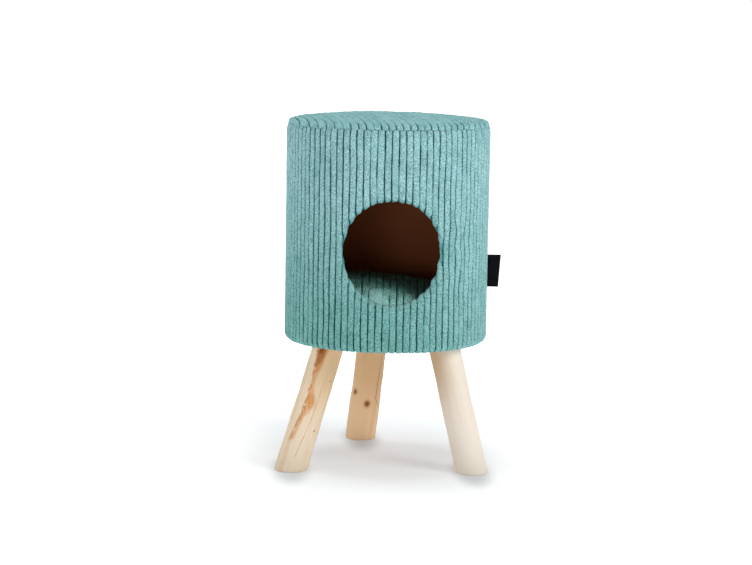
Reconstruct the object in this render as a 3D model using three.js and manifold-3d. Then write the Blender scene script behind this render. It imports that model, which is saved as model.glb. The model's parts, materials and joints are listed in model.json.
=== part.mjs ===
// Pet cave bed: a drum covered in wide-wale corduroy, with a round mouth in its side, a cushion on its floor
// and three splayed round wooden legs. Millimetres, +Z up. The mouth faces -Y and the legs stand on z = 0.
import * as THREE from "three";
import { mergeVertices } from "three/addons/utils/BufferGeometryUtils.js";
import Module from "manifold-3d";

const wasm = await Module();
wasm.setup();

// Drum
const DRUM_RADIUS = 155; // to the crests of the wales
const DRUM_BOTTOM = 188.5; // underside of the drum above the floor
const DRUM_TOP = 528; // rim of the padded top, below its crown
const TOP_CROWN = 5;
const TOP_TURN = 5; // degrees from front and back that the top's wales are turned
const TOP_RIM_ROUND = 9;
const SEAM_HEIGHT = DRUM_TOP - TOP_RIM_ROUND; // where the top panel is sewn to the side panel
const SEAM_DRAW = 2; // how far the sewing draws the side panel's wales in
const SEAM_DRAW_LENGTH = 6; // over this length below the seam
const GAP = 0.3; // between touching pieces
const CUT_PAST = 20; // how far a cutting solid reaches past what it cuts

// Corduroy
const WALE_COUNT = 92; // round the drum
const WALE_HEIGHT = 3.5;
const WALE_PITCH = (2 * Math.PI * DRUM_RADIUS) / WALE_COUNT;
const GROOVE_HALF = 1.5; // half width of a groove at its shoulders
const BACKING = 3; // woven ground under the wales
const COVER_INSIDE = DRUM_RADIUS - WALE_HEIGHT - BACKING;
const SIDE_SEAM_ANGLE = THREE.MathUtils.degToRad(-1.3); // upright seam that holds the label
const SIDE_SEAM_HALF = 3.2; // half width of the groove along that seam
const HEM_WIDTH = 21; // side panel turned under the drum
const BOTTOM_ROUND = 7; // bend of the backing round the drum's bottom edge

// Boards that stiffen the drum
const WALL_OUTSIDE = COVER_INSIDE - GAP;
const WALL_THICKNESS = 6;
const BOARD_THICKNESS = 12;
const WALL_SIDES = WALE_COUNT / 2;
const WALL_BOTTOM = DRUM_BOTTOM + WALE_HEIGHT + BACKING + GAP;
const WALL_TOP = SEAM_HEIGHT - BOARD_THICKNESS - 2 * GAP;

// Mouth: a circle drawn on the unrolled side panel and cut straight through, with the panel turned in round it
const MOUTH_HEIGHT = 337.5;
const MOUTH_RADIUS = 76;
const LIP_CLOTH = 3;
const LIP_ROLL = 9; // width of the rolled edge on the outside
const LIP_JOIN = 5; // where the panel's cut edge ends under the rolled edge
const LIP_END = WALL_OUTSIDE - WALL_THICKNESS - 1;

// Cushion
const CUSHION_RADIUS = 139;
const CUSHION_THICKNESS = 76;
const CUSHION_CROWN = 12;
const CUSHION_SHOULDER = 21;
const CUSHION_TURN = -3.3; // degrees that its wales are turned
const CUSHION_LEAN = 0.088; // rise of its top towards -X, where the filling has shifted

// Legs: where each meets the base and the floor, as a radius and an angle round the drum's axis
const LEG_RADIUS = 23.6;
const LEG_SIDES = 24;
const FOOT_ROUND = 2;
const LEG_TOP = WALL_BOTTOM - GAP;
const LEGS = [
  { name: "leg_left", topRadius: 102.5, topAngle: -147, footRadius: 168, footAngle: -149.4 },
  { name: "leg_right", topRadius: 105.5, topAngle: -37.2, footRadius: 163.5, footAngle: -38 },
  { name: "leg_back", topRadius: 104, topAngle: 96, footRadius: 166, footAngle: 99.7 },
];
// Rings of a leg from the floor up: share of its height and of its radius
const LEG_RINGS = [
  { height: 0, girth: 0.93 },
  { height: FOOT_ROUND / LEG_TOP, girth: 1.01 },
  { height: 0.35, girth: 1.015 },
  { height: 0.7, girth: 0.985 },
  { height: 1, girth: 0.99 },
];

// Label: a ribbon folded double, sewn into the side seam
const LABEL_BOTTOM = 271;
const LABEL_HEIGHT = 49.5;
const LABEL_REACH = DRUM_RADIUS + 19;
const LABEL_ROOT = DRUM_RADIUS - WALE_HEIGHT / 2 + GAP; // as deep as its two plies fit in the seam
const LABEL_PLY = 1;
const LABEL_PLY_GAP = 0.5;

const corduroy = () => new THREE.MeshStandardMaterial({ color: 0x86b1b0, roughness: 0.95, metalness: 0 });
const brownBoard = () => new THREE.MeshStandardMaterial({ color: 0x3a1f10, roughness: 0.9, metalness: 0 });
const paleWood = () => new THREE.MeshStandardMaterial({ color: 0xdcc3a0, roughness: 0.65, metalness: 0 });
const blackRibbon = () => new THREE.MeshStandardMaterial({ color: 0x0c0c0e, roughness: 0.6, metalness: 0 });

// Columns of one wale after another: a groove and the two shoulders of its flat crest.
function waleColumns(first, count, seamHalf = GROOVE_HALF) {
  const columns = [];
  for (let i = 0; i < count; i++) {
    const left = i === 0 ? seamHalf : GROOVE_HALF;
    const right = i === count - 1 ? seamHalf : GROOVE_HALF;
    const groove = first + i * WALE_PITCH;
    columns.push({ across: groove, height: 0 });
    columns.push({ across: groove + left, height: 1 });
    columns.push({ across: groove + WALE_PITCH - right, height: 1 });
  }
  return columns;
}

// A closed surface from a list of triangles' corner points.
function surface(points, triangles) {
  const geometry = new THREE.BufferGeometry();
  geometry.setAttribute("position", new THREE.Float32BufferAttribute(points.flatMap((p) => p.toArray()), 3));
  geometry.setIndex(triangles.flat());
  return geometry;
}

// Rings of equally many points joined one to the next. A stack is capped by fans at its two ends, and a loop
// joins its last ring to its first. Rings run anticlockwise as seen from the way they are stacked.
function loft(rings, { loop = false } = {}) {
  const sides = rings[0].length;
  const points = rings.flat();
  const triangles = [];
  const strips = loop ? rings.length : rings.length - 1;
  for (let i = 0; i < strips; i++) {
    const low = i * sides;
    const high = ((i + 1) % rings.length) * sides;
    for (let j = 0; j < sides; j++) {
      const next = (j + 1) % sides;
      triangles.push([low + j, low + next, high + next], [low + j, high + next, high + j]);
    }
  }
  if (!loop) {
    const middle = (ring) => ring.reduce((sum, p) => sum.add(p), new THREE.Vector3()).divideScalar(sides);
    const last = (rings.length - 1) * sides;
    const bottom = points.push(middle(rings[0])) - 1;
    const top = points.push(middle(rings.at(-1))) - 1;
    for (let j = 0; j < sides; j++) {
      const next = (j + 1) % sides;
      triangles.push([bottom, next, j], [top, last + j, last + next]);
    }
  }
  return surface(points, triangles);
}

// A solid for cutting and joining, and the geometry of the result.
function solidOf(geometry) {
  const bare = geometry.clone();
  bare.deleteAttribute("normal");
  bare.deleteAttribute("uv");
  const merged = mergeVertices(bare, 1e-4);
  const mesh = new wasm.Mesh({
    numProp: 3,
    vertProperties: new Float32Array(merged.attributes.position.array),
    triVerts: new Uint32Array(merged.index.array),
  });
  return new wasm.Manifold(mesh);
}

function geometryOf(solid) {
  const mesh = solid.getMesh();
  const geometry = new THREE.BufferGeometry();
  geometry.setAttribute("position", new THREE.BufferAttribute(new Float32Array(mesh.vertProperties), 3));
  geometry.setIndex(new THREE.BufferAttribute(new Uint32Array(mesh.triVerts), 1));
  geometry.computeVertexNormals();
  return geometry;
}

// A turned solid: the profile's points are radius and height, from the axis round to the axis, upwards outside.
function turned(profile, sides) {
  const points = profile.map(([radius, height]) => new THREE.Vector2(radius, height));
  const geometry = new THREE.LatheGeometry(points, sides, SIDE_SEAM_ANGLE + Math.PI / 2);
  return geometry.rotateX(Math.PI / 2);
}

// A point on an upright cylinder, from the arc length along the unrolled side panel measured from the mouth.
function onWall(arc, radius, height) {
  const angle = arc / DRUM_RADIUS - Math.PI / 2;
  return new THREE.Vector3(radius * Math.cos(angle), radius * Math.sin(angle), height);
}

// The same point of the panel's backing carried straight back, along Y, to another radius.
function straightBack(arc, radius, height) {
  const x = (DRUM_RADIUS - WALE_HEIGHT) * Math.sin(arc / DRUM_RADIUS);
  return new THREE.Vector3(x, -Math.sqrt(radius * radius - x * x), height);
}

// The mouth's outline on the unrolled panel at one angle, moved outwards.
function mouthPoint(angle, outwards) {
  const radius = MOUTH_RADIUS + outwards;
  return { arc: radius * Math.cos(angle), height: MOUTH_HEIGHT + radius * Math.sin(angle) };
}

// A plug that cuts the mouth through a wall, between two radii.
function mouthPlug(outwards, inner, outer) {
  const sides = 72;
  const ring = (radius) =>
    Array.from({ length: sides }, (_, i) => {
      const { arc, height } = mouthPoint((2 * Math.PI * i) / sides, outwards);
      return straightBack(arc, radius, height);
    });
  return loft([ring(inner), ring(outer)]);
}

// Columns of the side panel, as angles round the drum from its upright seam.
const sideColumns = waleColumns(0, WALE_COUNT, SIDE_SEAM_HALF).map(({ across, height }) => ({
  angle: SIDE_SEAM_ANGLE + across / DRUM_RADIUS,
  height,
}));

// Wale height of the side panel, 0 in a groove and 1 on a crest, at an arc length from the mouth.
function sideWale(arc) {
  const fromSeam = arc - DRUM_RADIUS * (SIDE_SEAM_ANGLE + Math.PI / 2);
  const phase = THREE.MathUtils.euclideanModulo(fromSeam, WALE_PITCH);
  return Math.min(1, Math.min(phase, WALE_PITCH - phase) / GROOVE_HALF);
}

// Backing of the side panel from the hem up, with the way its wales stand and how high they are.
function sideSections() {
  const wall = DRUM_RADIUS - WALE_HEIGHT;
  const bend = { radius: wall - BOTTOM_ROUND, height: DRUM_BOTTOM + WALE_HEIGHT + BOTTOM_ROUND };
  const round = [-90, -45, 0].map((degrees) => {
    const angle = THREE.MathUtils.degToRad(degrees);
    const [out, up] = [Math.cos(angle), Math.sin(angle)];
    return {
      radius: bend.radius + BOTTOM_ROUND * out,
      height: bend.height + BOTTOM_ROUND * up,
      out,
      up,
      wale: WALE_HEIGHT,
    };
  });
  const hem = { ...round[0], radius: DRUM_RADIUS - HEM_WIDTH - CUT_PAST, wale: WALE_HEIGHT / 4 };
  const straight = { radius: wall, height: SEAM_HEIGHT - SEAM_DRAW_LENGTH, out: 1, up: 0, wale: WALE_HEIGHT };
  const sewn = { radius: wall, height: SEAM_HEIGHT, out: 1, up: 0, wale: WALE_HEIGHT - SEAM_DRAW };
  return [hem, ...round, straight, sewn];
}

// Rolled edge of the mouth: the panel's wales run over it and into the drum, so its outline is scalloped.
function mouthLip() {
  const wall = DRUM_RADIUS - WALE_HEIGHT;
  const section = [
    { out: 0, radius: LIP_END, wale: 0, place: straightBack },
    { out: 0.4, radius: wall - 3, wale: -0.4, place: straightBack },
    { out: 1.6, radius: wall - 0.5, wale: 2.2, place: onWall },
    { out: 4.5, radius: wall, wale: WALE_HEIGHT, place: onWall },
    { out: LIP_ROLL, radius: wall - 0.6, wale: WALE_HEIGHT - 0.4, place: onWall },
    { out: LIP_ROLL, radius: COVER_INSIDE + 0.5, wale: 0, place: onWall },
    { out: LIP_CLOTH, radius: COVER_INSIDE + 0.5, wale: 0, place: straightBack },
    { out: LIP_CLOTH, radius: LIP_END, wale: 0, place: straightBack },
  ];
  const half = Math.PI;
  const nearSide = 0.11; // angle of the rings nearest the mouth's two sides
  const arcs = sideColumns
    .map(({ angle }) => (angle + half / 2) * DRUM_RADIUS)
    .map((arc) => (arc > half * DRUM_RADIUS ? arc - 2 * half * DRUM_RADIUS : arc))
    .filter((arc) => Math.abs(arc) < MOUTH_RADIUS * Math.cos(2 * nearSide))
    .sort((a, b) => b - a);
  const upper = [nearSide, ...arcs.map((arc) => Math.acos(arc / MOUTH_RADIUS)), half - nearSide];
  const angles = [0, ...upper, half, ...upper.map((angle) => angle + half)];
  const rings = angles.map((angle) =>
    section.map(({ out, radius, wale, place }) => {
      const { arc, height } = mouthPoint(angle, out);
      return place(arc, radius + wale * sideWale(arc), height);
    }),
  );
  return loft(rings, { loop: true });
}

// Side panel: a ribbed tube with its hem turned under and the mouth's edge turned in.
function sideCover() {
  const rings = sideSections().map(({ radius, height, out, up, wale }) =>
    sideColumns.map((column) => {
      const raised = wale * column.height;
      const reach = radius + out * raised;
      return new THREE.Vector3(
        reach * Math.cos(column.angle),
        reach * Math.sin(column.angle),
        height + up * raised,
      );
    }),
  );
  const hollow = turned(
    [
      [0, DRUM_BOTTOM - CUT_PAST],
      [DRUM_RADIUS - HEM_WIDTH, DRUM_BOTTOM - CUT_PAST],
      [DRUM_RADIUS - HEM_WIDTH, WALL_BOTTOM - GAP],
      [COVER_INSIDE, WALL_BOTTOM - GAP],
      [COVER_INSIDE, SEAM_HEIGHT + CUT_PAST],
      [0, SEAM_HEIGHT + CUT_PAST],
    ],
    WALL_SIDES,
  );
  const shell = solidOf(loft(rings)).subtract(solidOf(hollow));
  const plug = mouthPlug(LIP_JOIN, LIP_END - CUT_PAST, DRUM_RADIUS + CUT_PAST);
  return geometryOf(shell.subtract(solidOf(plug)).add(solidOf(mouthLip())));
}

// Stiff wall inside the cover, with the mouth cut clear of the turned-in cloth.
function drumWall() {
  const inside = WALL_OUTSIDE - WALL_THICKNESS;
  const tube = turned(
    [
      [inside, WALL_BOTTOM],
      [WALL_OUTSIDE, WALL_BOTTOM],
      [WALL_OUTSIDE, WALL_TOP],
      [inside, WALL_TOP],
      [inside, WALL_BOTTOM],
    ],
    WALL_SIDES,
  );
  const plug = mouthPlug(LIP_CLOTH + 2 * GAP, inside - CUT_PAST, WALL_OUTSIDE + CUT_PAST);
  return geometryOf(solidOf(tube).subtract(solidOf(plug)));
}

// A round board.
function board(radius, bottom) {
  const top = bottom + BOARD_THICKNESS;
  return turned(
    [
      [0, bottom],
      [radius, bottom],
      [radius, top],
      [0, top],
    ],
    WALL_SIDES,
  );
}

// A round corduroy pad with straight wales. The path runs from the middle of its top to the rim of its flat
// underside, as radius and height, and rowsFromEdge are the places of the cross rows, from the path's end. They
// are drawn together on a wale whose half length is under shortWale times the last of them.
function cordPad({ path, turn, rowsFromEdge, relief, shift = () => 0, shortWale = 1.6 }) {
  const reach = path.getLength();
  const half = Math.floor(reach / WALE_PITCH);
  const columns = waleColumns(-(half + 0.5) * WALE_PITCH, 2 * half + 1);
  const inner = columns.filter(({ across }) => Math.abs(across) < reach - GROOVE_HALF);
  const place = (across, along, height) => {
    const flat = Math.min(Math.hypot(across, along), reach);
    const at = path.getPointAt(flat / reach);
    const tangent = path.getTangentAt(flat / reach);
    const raised = WALE_HEIGHT * height * relief(flat, reach);
    const radius = at.x - tangent.y * raised;
    const z = at.y + tangent.x * raised;
    const direction = Math.atan2(along, across) + turn;
    const spot = new THREE.Vector3(radius * Math.cos(direction), radius * Math.sin(direction), z);
    spot.z += shift(spot);
    return spot;
  };
  const points = [];
  const triangles = [];
  const rows = 2 * rowsFromEdge.length + 1;
  inner.forEach(({ across, height }) => {
    const end = Math.sqrt(reach * reach - across * across);
    const shrink = Math.min(1, end / (shortWale * rowsFromEdge.at(-1)));
    const near = rowsFromEdge.map((step) => -end + step * shrink);
    const far = near.map((along) => -along).reverse();
    [...near, 0, ...far].forEach((along) => points.push(place(across, along, height)));
  });
  const tips = [-reach, reach].map((across) => points.push(place(across, 0, 0)) - 1);
  for (let i = 0; i + 1 < inner.length; i++) {
    const here = i * rows;
    const next = here + rows;
    for (let j = 0; j + 1 < rows; j++) {
      triangles.push([here + j, next + j, next + j + 1], [here + j, next + j + 1, here + j + 1]);
    }
    triangles.push([here, next + rows - 1, next], [here, here + rows - 1, next + rows - 1]);
  }
  const last = (inner.length - 1) * rows;
  for (let j = 0; j + 1 < rows; j++) {
    triangles.push([tips[0], j, j + 1], [tips[1], last + j + 1, last + j]);
  }
  triangles.push([tips[0], rows - 1, 0], [tips[1], last, last + rows - 1]);
  return surface(points, triangles);
}

// Padded top: a round panel drawn over the rim and sewn to the side panel all round.
function topPad() {
  const rim = DRUM_RADIUS - WALE_HEIGHT;
  const flat = DRUM_TOP - WALE_HEIGHT;
  const edge = SEAM_HEIGHT + GAP;
  const drop = 0.5; // straight edge down to the seam
  const fade = 3; // length over which the wales sink into the seam
  const round = flat - edge - drop;
  const path = new THREE.Path();
  path.moveTo(0, flat + TOP_CROWN);
  path.quadraticCurveTo(rim * 0.6, flat + TOP_CROWN, rim - round, flat);
  path.absarc(rim - round, flat - round, round, Math.PI / 2, 0, true);
  path.lineTo(rim, edge);
  return cordPad({
    path,
    turn: THREE.MathUtils.degToRad(TOP_TURN),
    rowsFromEdge: [0, 3, 6, 10, 15, 34],
    relief: (flatRadius, reach) => Math.min(1, (reach - flatRadius) / fade),
  });
}

// Cushion on the drum's floor: crowned, with full rounded sides and a flat underside.
function cushion() {
  const bottom = WALL_BOTTOM + BOARD_THICKNESS + GAP;
  const top = bottom + CUSHION_THICKNESS - WALE_HEIGHT - CUSHION_CROWN;
  const side = CUSHION_RADIUS - WALE_HEIGHT;
  const shoulder = CUSHION_SHOULDER;
  const fade = 25; // length over which the wales flatten under the cushion's weight
  const path = new THREE.Path();
  path.moveTo(0, top + CUSHION_CROWN);
  path.quadraticCurveTo(side * 0.5, top + CUSHION_CROWN, side - shoulder, top);
  path.quadraticCurveTo(side, top - shoulder * 0.2, side, top - shoulder);
  path.quadraticCurveTo(side, bottom + 2, side - shoulder, bottom);
  return cordPad({
    path,
    turn: THREE.MathUtils.degToRad(CUSHION_TURN),
    rowsFromEdge: [0, 22, 40, 55, 72],
    relief: (flatRadius, reach) => Math.min(1, (reach - flatRadius) / fade),
    shift: (spot) => (-CUSHION_LEAN * spot.x * (spot.z - bottom)) / CUSHION_THICKNESS,
  });
}

// A round pole between its seat under the base and its foot, cut level at both ends.
function leg({ topRadius, topAngle, footRadius, footAngle }) {
  const polar = (radius, degrees) =>
    new THREE.Vector2(radius, 0).rotateAround(new THREE.Vector2(), THREE.MathUtils.degToRad(degrees));
  const top = polar(topRadius, topAngle);
  const foot = polar(footRadius, footAngle);
  const splay = foot.clone().sub(top);
  const stretch = Math.hypot(splay.length(), LEG_TOP) / LEG_TOP;
  const along = splay.clone().normalize();
  const rings = LEG_RINGS.map(({ height, girth }) => {
    const middle = foot.clone().lerp(top, height);
    return Array.from({ length: LEG_SIDES }, (_, i) => {
      const angle = (2 * Math.PI * i) / LEG_SIDES;
      const reach = LEG_RADIUS * girth * stretch * Math.cos(angle);
      const width = LEG_RADIUS * girth * Math.sin(angle);
      const x = middle.x + along.x * reach - along.y * width;
      const y = middle.y + along.y * reach + along.x * width;
      return new THREE.Vector3(x, y, height * LEG_TOP);
    });
  });
  return loft(rings);
}

// Ribbon folded double, its fold outwards and its two ends in the seam.
function label() {
  const half = LABEL_PLY + LABEL_PLY_GAP / 2;
  const slit = LABEL_PLY_GAP / 2;
  const fold = LABEL_REACH - half;
  const outline = new THREE.Shape();
  outline.moveTo(LABEL_ROOT, -half);
  outline.lineTo(fold, -half);
  outline.absarc(fold, 0, half, -Math.PI / 2, Math.PI / 2, false);
  outline.lineTo(LABEL_ROOT, half);
  outline.lineTo(LABEL_ROOT, slit);
  outline.lineTo(fold, slit);
  outline.absarc(fold, 0, slit, Math.PI / 2, -Math.PI / 2, true);
  outline.lineTo(LABEL_ROOT, -slit);
  outline.closePath();
  return new THREE.ExtrudeGeometry(outline, { depth: LABEL_HEIGHT, bevelEnabled: false, curveSegments: 6 });
}

function named(name, geometry, material) {
  const mesh = new THREE.Mesh(geometry, material);
  mesh.name = name;
  return mesh;
}

const drum = new THREE.Group();
drum.add(named("side_cover", sideCover(), corduroy()));
drum.add(named("top_pad", topPad(), corduroy()));
drum.add(named("drum_wall", drumWall(), brownBoard()));
drum.add(named("top_board", board(WALL_OUTSIDE, WALL_TOP + GAP), brownBoard()));
drum.add(named("base_board", board(WALL_OUTSIDE - WALL_THICKNESS - GAP, WALL_BOTTOM), brownBoard()));
drum.add(named("cushion", cushion(), corduroy()));

const tag = named("side_label", label(), blackRibbon());
tag.position.z = LABEL_BOTTOM;
tag.rotation.z = SIDE_SEAM_ANGLE;
drum.add(tag);

const stand = new THREE.Group();
LEGS.forEach((row) => stand.add(named(row.name, leg(row), paleWood())));

// The origin is on the floor, at the middle of the part's box.
const part = new THREE.Group();
const placed = new THREE.Group();
placed.add(drum, stand);
const box = new THREE.Box3().setFromObject(placed);
placed.position.set(-(box.min.x + box.max.x) / 2, -(box.min.y + box.max.y) / 2, -box.min.z);
part.add(placed);

export default part;
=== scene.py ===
"""Looks of a pet cave bed: a corduroy drum with a round mouth, a cushion inside and three wooden legs.

Sizes are in metres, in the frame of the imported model: +Z up, the mouth towards -Y, the feet on z = 0.
On the unrolled side panel a place is an arc length from the middle of the mouth and a height.
"""

import json
import logging
import math
from collections.abc import Mapping, Sequence
from dataclasses import dataclass, field, replace
from enum import Enum
from typing import Any

import bpy
import numpy as np
from mathutils import Matrix, Vector

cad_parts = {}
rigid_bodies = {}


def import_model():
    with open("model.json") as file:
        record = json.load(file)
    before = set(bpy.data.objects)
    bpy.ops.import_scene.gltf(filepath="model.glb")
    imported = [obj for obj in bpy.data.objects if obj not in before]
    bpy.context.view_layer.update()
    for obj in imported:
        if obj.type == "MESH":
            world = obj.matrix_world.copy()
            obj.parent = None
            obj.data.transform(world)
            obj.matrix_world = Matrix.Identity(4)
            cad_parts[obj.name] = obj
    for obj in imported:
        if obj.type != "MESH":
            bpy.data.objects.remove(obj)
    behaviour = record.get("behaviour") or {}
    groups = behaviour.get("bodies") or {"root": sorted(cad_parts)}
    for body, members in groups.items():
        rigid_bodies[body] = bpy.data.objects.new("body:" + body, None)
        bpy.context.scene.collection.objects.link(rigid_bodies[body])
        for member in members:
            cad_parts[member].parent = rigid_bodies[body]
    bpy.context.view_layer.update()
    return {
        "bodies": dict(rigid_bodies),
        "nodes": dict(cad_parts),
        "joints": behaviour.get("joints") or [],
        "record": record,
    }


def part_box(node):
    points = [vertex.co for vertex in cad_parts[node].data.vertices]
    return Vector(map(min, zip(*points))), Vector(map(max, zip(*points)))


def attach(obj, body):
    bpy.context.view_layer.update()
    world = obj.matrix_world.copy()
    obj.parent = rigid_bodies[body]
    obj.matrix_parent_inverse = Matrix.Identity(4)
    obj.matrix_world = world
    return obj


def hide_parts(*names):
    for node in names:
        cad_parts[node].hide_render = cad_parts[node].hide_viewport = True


MM = 0.001
BODY = "root"
TOUCHING = 0.001 * MM
Colour = tuple[float, float, float, float]
Values = dict[str, np.ndarray]
log = logging.getLogger("pet_cave_bed")


class Slot(Enum):
    """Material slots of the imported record."""

    CORDUROY = "corduroy"
    BOARD = "brown_board"
    WOOD = "pale_wood"
    RIBBON = "black_ribbon"


def linear(red: int, green: int, blue: int) -> Colour:
    """A screen colour, 0 to 255, as the linear colour that shaders take.

    Args:
        red: Red part.
        green: Green part.
        blue: Blue part.

    Returns:
        Linear red, green and blue, and an alpha of 1.
    """
    parts = np.array([red, green, blue]) / 255
    line = np.where(parts <= 0.04045, parts / 12.92, ((parts + 0.055) / 1.055) ** 2.4)
    return (*line.tolist(), 1.0)


def smooth_step(value: np.ndarray) -> np.ndarray:
    """Rises smoothly from 0 to 1 as the value goes from 0 to 1: 3 v squared less 2 v cubed."""
    held = np.clip(value, 0, 1)
    return held * held * (3 - 2 * held)


@dataclass(frozen=True)
class Waves:
    """Even noise of unit spread: a sum of cosine waves with seeded lengths, directions and phases.

    Attributes:
        seed: Seed of the draws.
        across: Usual wave length in the first direction.
        along: Usual wave length in the second direction.
        around: Length after which the first direction repeats, or 0.
        count: Number of waves.
    """

    seed: int
    across: float
    along: float
    around: float = 0.0
    count: int = 24

    def at(self, x: np.ndarray, y: np.ndarray) -> np.ndarray:
        """The noise at places, as the sum of cos(2 pi (x fx + y fy) + phase) over the waves.

        Args:
            x: First coordinates.
            y: Second coordinates, of a shape that goes with x.

        Returns:
            Noise values of the joint shape.
        """
        draw = np.random.default_rng(self.seed)
        rate_x = draw.normal(0, 1 / self.across, self.count)
        rate_y = draw.normal(0, 1 / self.along, self.count)
        phase = draw.uniform(0, 2 * np.pi, self.count)
        if self.around:
            rate_x = np.round(rate_x * self.around) / self.around
        turns = np.multiply.outer(x, rate_x) + np.multiply.outer(y, rate_y)
        return np.cos(2 * np.pi * turns + phase).sum(axis=-1) * math.sqrt(2 / self.count)


def vectors(*parts: np.ndarray | float) -> np.ndarray:
    """Vectors from their parts, whose shapes go together."""
    return np.stack(np.broadcast_arrays(*parts), axis=-1)


def grid_quads(ids: np.ndarray, wrap: bool = False) -> np.ndarray:
    """Quads of a grid of vertex numbers, each going round its four corners.

    Args:
        ids: Vertex numbers, rows by columns.
        wrap: Whether the last column joins the first.

    Returns:
        Four vertex numbers a quad.
    """
    if wrap:
        ids = np.concatenate([ids, ids[:, :1]], axis=1)
    corners = [ids[:-1, :-1], ids[:-1, 1:], ids[1:, 1:], ids[1:, :-1]]
    return np.stack(corners, axis=-1).reshape(-1, 4)


def fan(middle: int, ring: np.ndarray) -> np.ndarray:
    """Triangles from one middle vertex to each step of a closed ring.

    Args:
        middle: Number of the middle vertex.
        ring: Vertex numbers of the ring.

    Returns:
        Three vertex numbers a triangle.
    """
    return np.stack([np.full(len(ring), middle), ring, np.roll(ring, -1)], axis=-1)


def placed(name: str, data: bpy.types.ID) -> bpy.types.Object:
    """Puts a new object into the scene.

    Args:
        name: Name of the object.
        data: Its mesh, lens or lamp.

    Returns:
        The object.
    """
    made = bpy.data.objects.new(name, data)
    bpy.context.scene.collection.objects.link(made)
    return made


@dataclass
class Surface:
    """Points and faces of one piece, with values kept at its points.

    Attributes:
        points: Places of the points.
        faces: Arrays of vertex numbers, one row a face.
        values: Values at the points by name, numbers or vectors.
    """

    points: np.ndarray
    faces: list[np.ndarray]
    values: Values = field(default_factory=dict)

    def mesh(self, name: str) -> bpy.types.Mesh:
        """Makes the bare mesh.

        Args:
            name: Name of the mesh.

        Returns:
            The mesh.
        """
        made = bpy.data.meshes.new(name)
        made.from_pydata(self.points.tolist(), [], [row for part in self.faces for row in part.tolist()])
        return made

    def piece(self, name: str, material: bpy.types.Material, slot: Slot) -> bpy.types.Object:
        """Makes the smooth-shaded object, which rides on the bed.

        Args:
            name: Name of the piece.
            material: Its finish.
            slot: The record's slot for its finish. It is not used.

        Returns:
            The new object.
        """
        mesh = self.mesh(name)
        for key, value in self.values.items():
            vector = value.ndim == 2
            layer = mesh.attributes.new(key, "FLOAT_VECTOR" if vector else "FLOAT", "POINT")
            layer.data.foreach_set("vector" if vector else "value", value.astype(np.float32).ravel())
        mesh.shade_smooth()
        mesh.materials.append(material)
        made = placed(name, mesh)
        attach(made, BODY)
        log.info("%s: %d points, %d faces", name, len(self.points), len(mesh.polygons))
        return made


class Wire:
    """An output socket that takes part in Python arithmetic, each step of which adds a Math node."""

    def __init__(self, graph: "Graph", socket: bpy.types.NodeSocket) -> None:
        """Keeps the socket and the graph that it is in."""
        self.graph = graph
        self.socket = socket

    def _math(self, operation: str, first: Any, second: Any) -> "Wire":
        """One Math node on two values or wires."""
        return self.graph.node("ShaderNodeMath", {"operation": operation}, {0: first, 1: second})

    def __add__(self, other: Any) -> "Wire":
        """Sum."""
        return self._math("ADD", self, other)

    def __radd__(self, other: Any) -> "Wire":
        """Sum with the wire second."""
        return self._math("ADD", other, self)

    def __sub__(self, other: Any) -> "Wire":
        """Difference."""
        return self._math("SUBTRACT", self, other)

    def __rsub__(self, other: Any) -> "Wire":
        """Difference with the wire second."""
        return self._math("SUBTRACT", other, self)

    def __mul__(self, other: Any) -> "Wire":
        """Product."""
        return self._math("MULTIPLY", self, other)

    def __rmul__(self, other: Any) -> "Wire":
        """Product with the wire second."""
        return self._math("MULTIPLY", other, self)

    def __truediv__(self, other: Any) -> "Wire":
        """Quotient."""
        return self._math("DIVIDE", self, other)

    def __pow__(self, other: Any) -> "Wire":
        """Power."""
        return self._math("POWER", self, other)

    def __abs__(self) -> "Wire":
        """Size without sign."""
        return self._math("ABSOLUTE", self, 0.0)

    def above(self, floor: float) -> "Wire":
        """The larger of the wire and a number."""
        return self._math("MAXIMUM", self, floor)

    def sine(self) -> "Wire":
        """Sine of the wire, which is in radians."""
        return self._math("SINE", self, 0.0)

    def angle(self, level: "Wire") -> "Wire":
        """Angle in radians of a direction: the wire is its upright part, the other its level part."""
        return self._math("ARCTAN2", self, level)

    def ramp(self, low: float, high: float) -> "Wire":
        """Goes smoothly from 0 where the wire is low to 1 where it is high."""
        settings = {"interpolation_type": "SMOOTHSTEP", "clamp": True}
        inputs = {"Value": self, "From Min": low, "From Max": high}
        return self.graph.node("ShaderNodeMapRange", settings, inputs)


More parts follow.
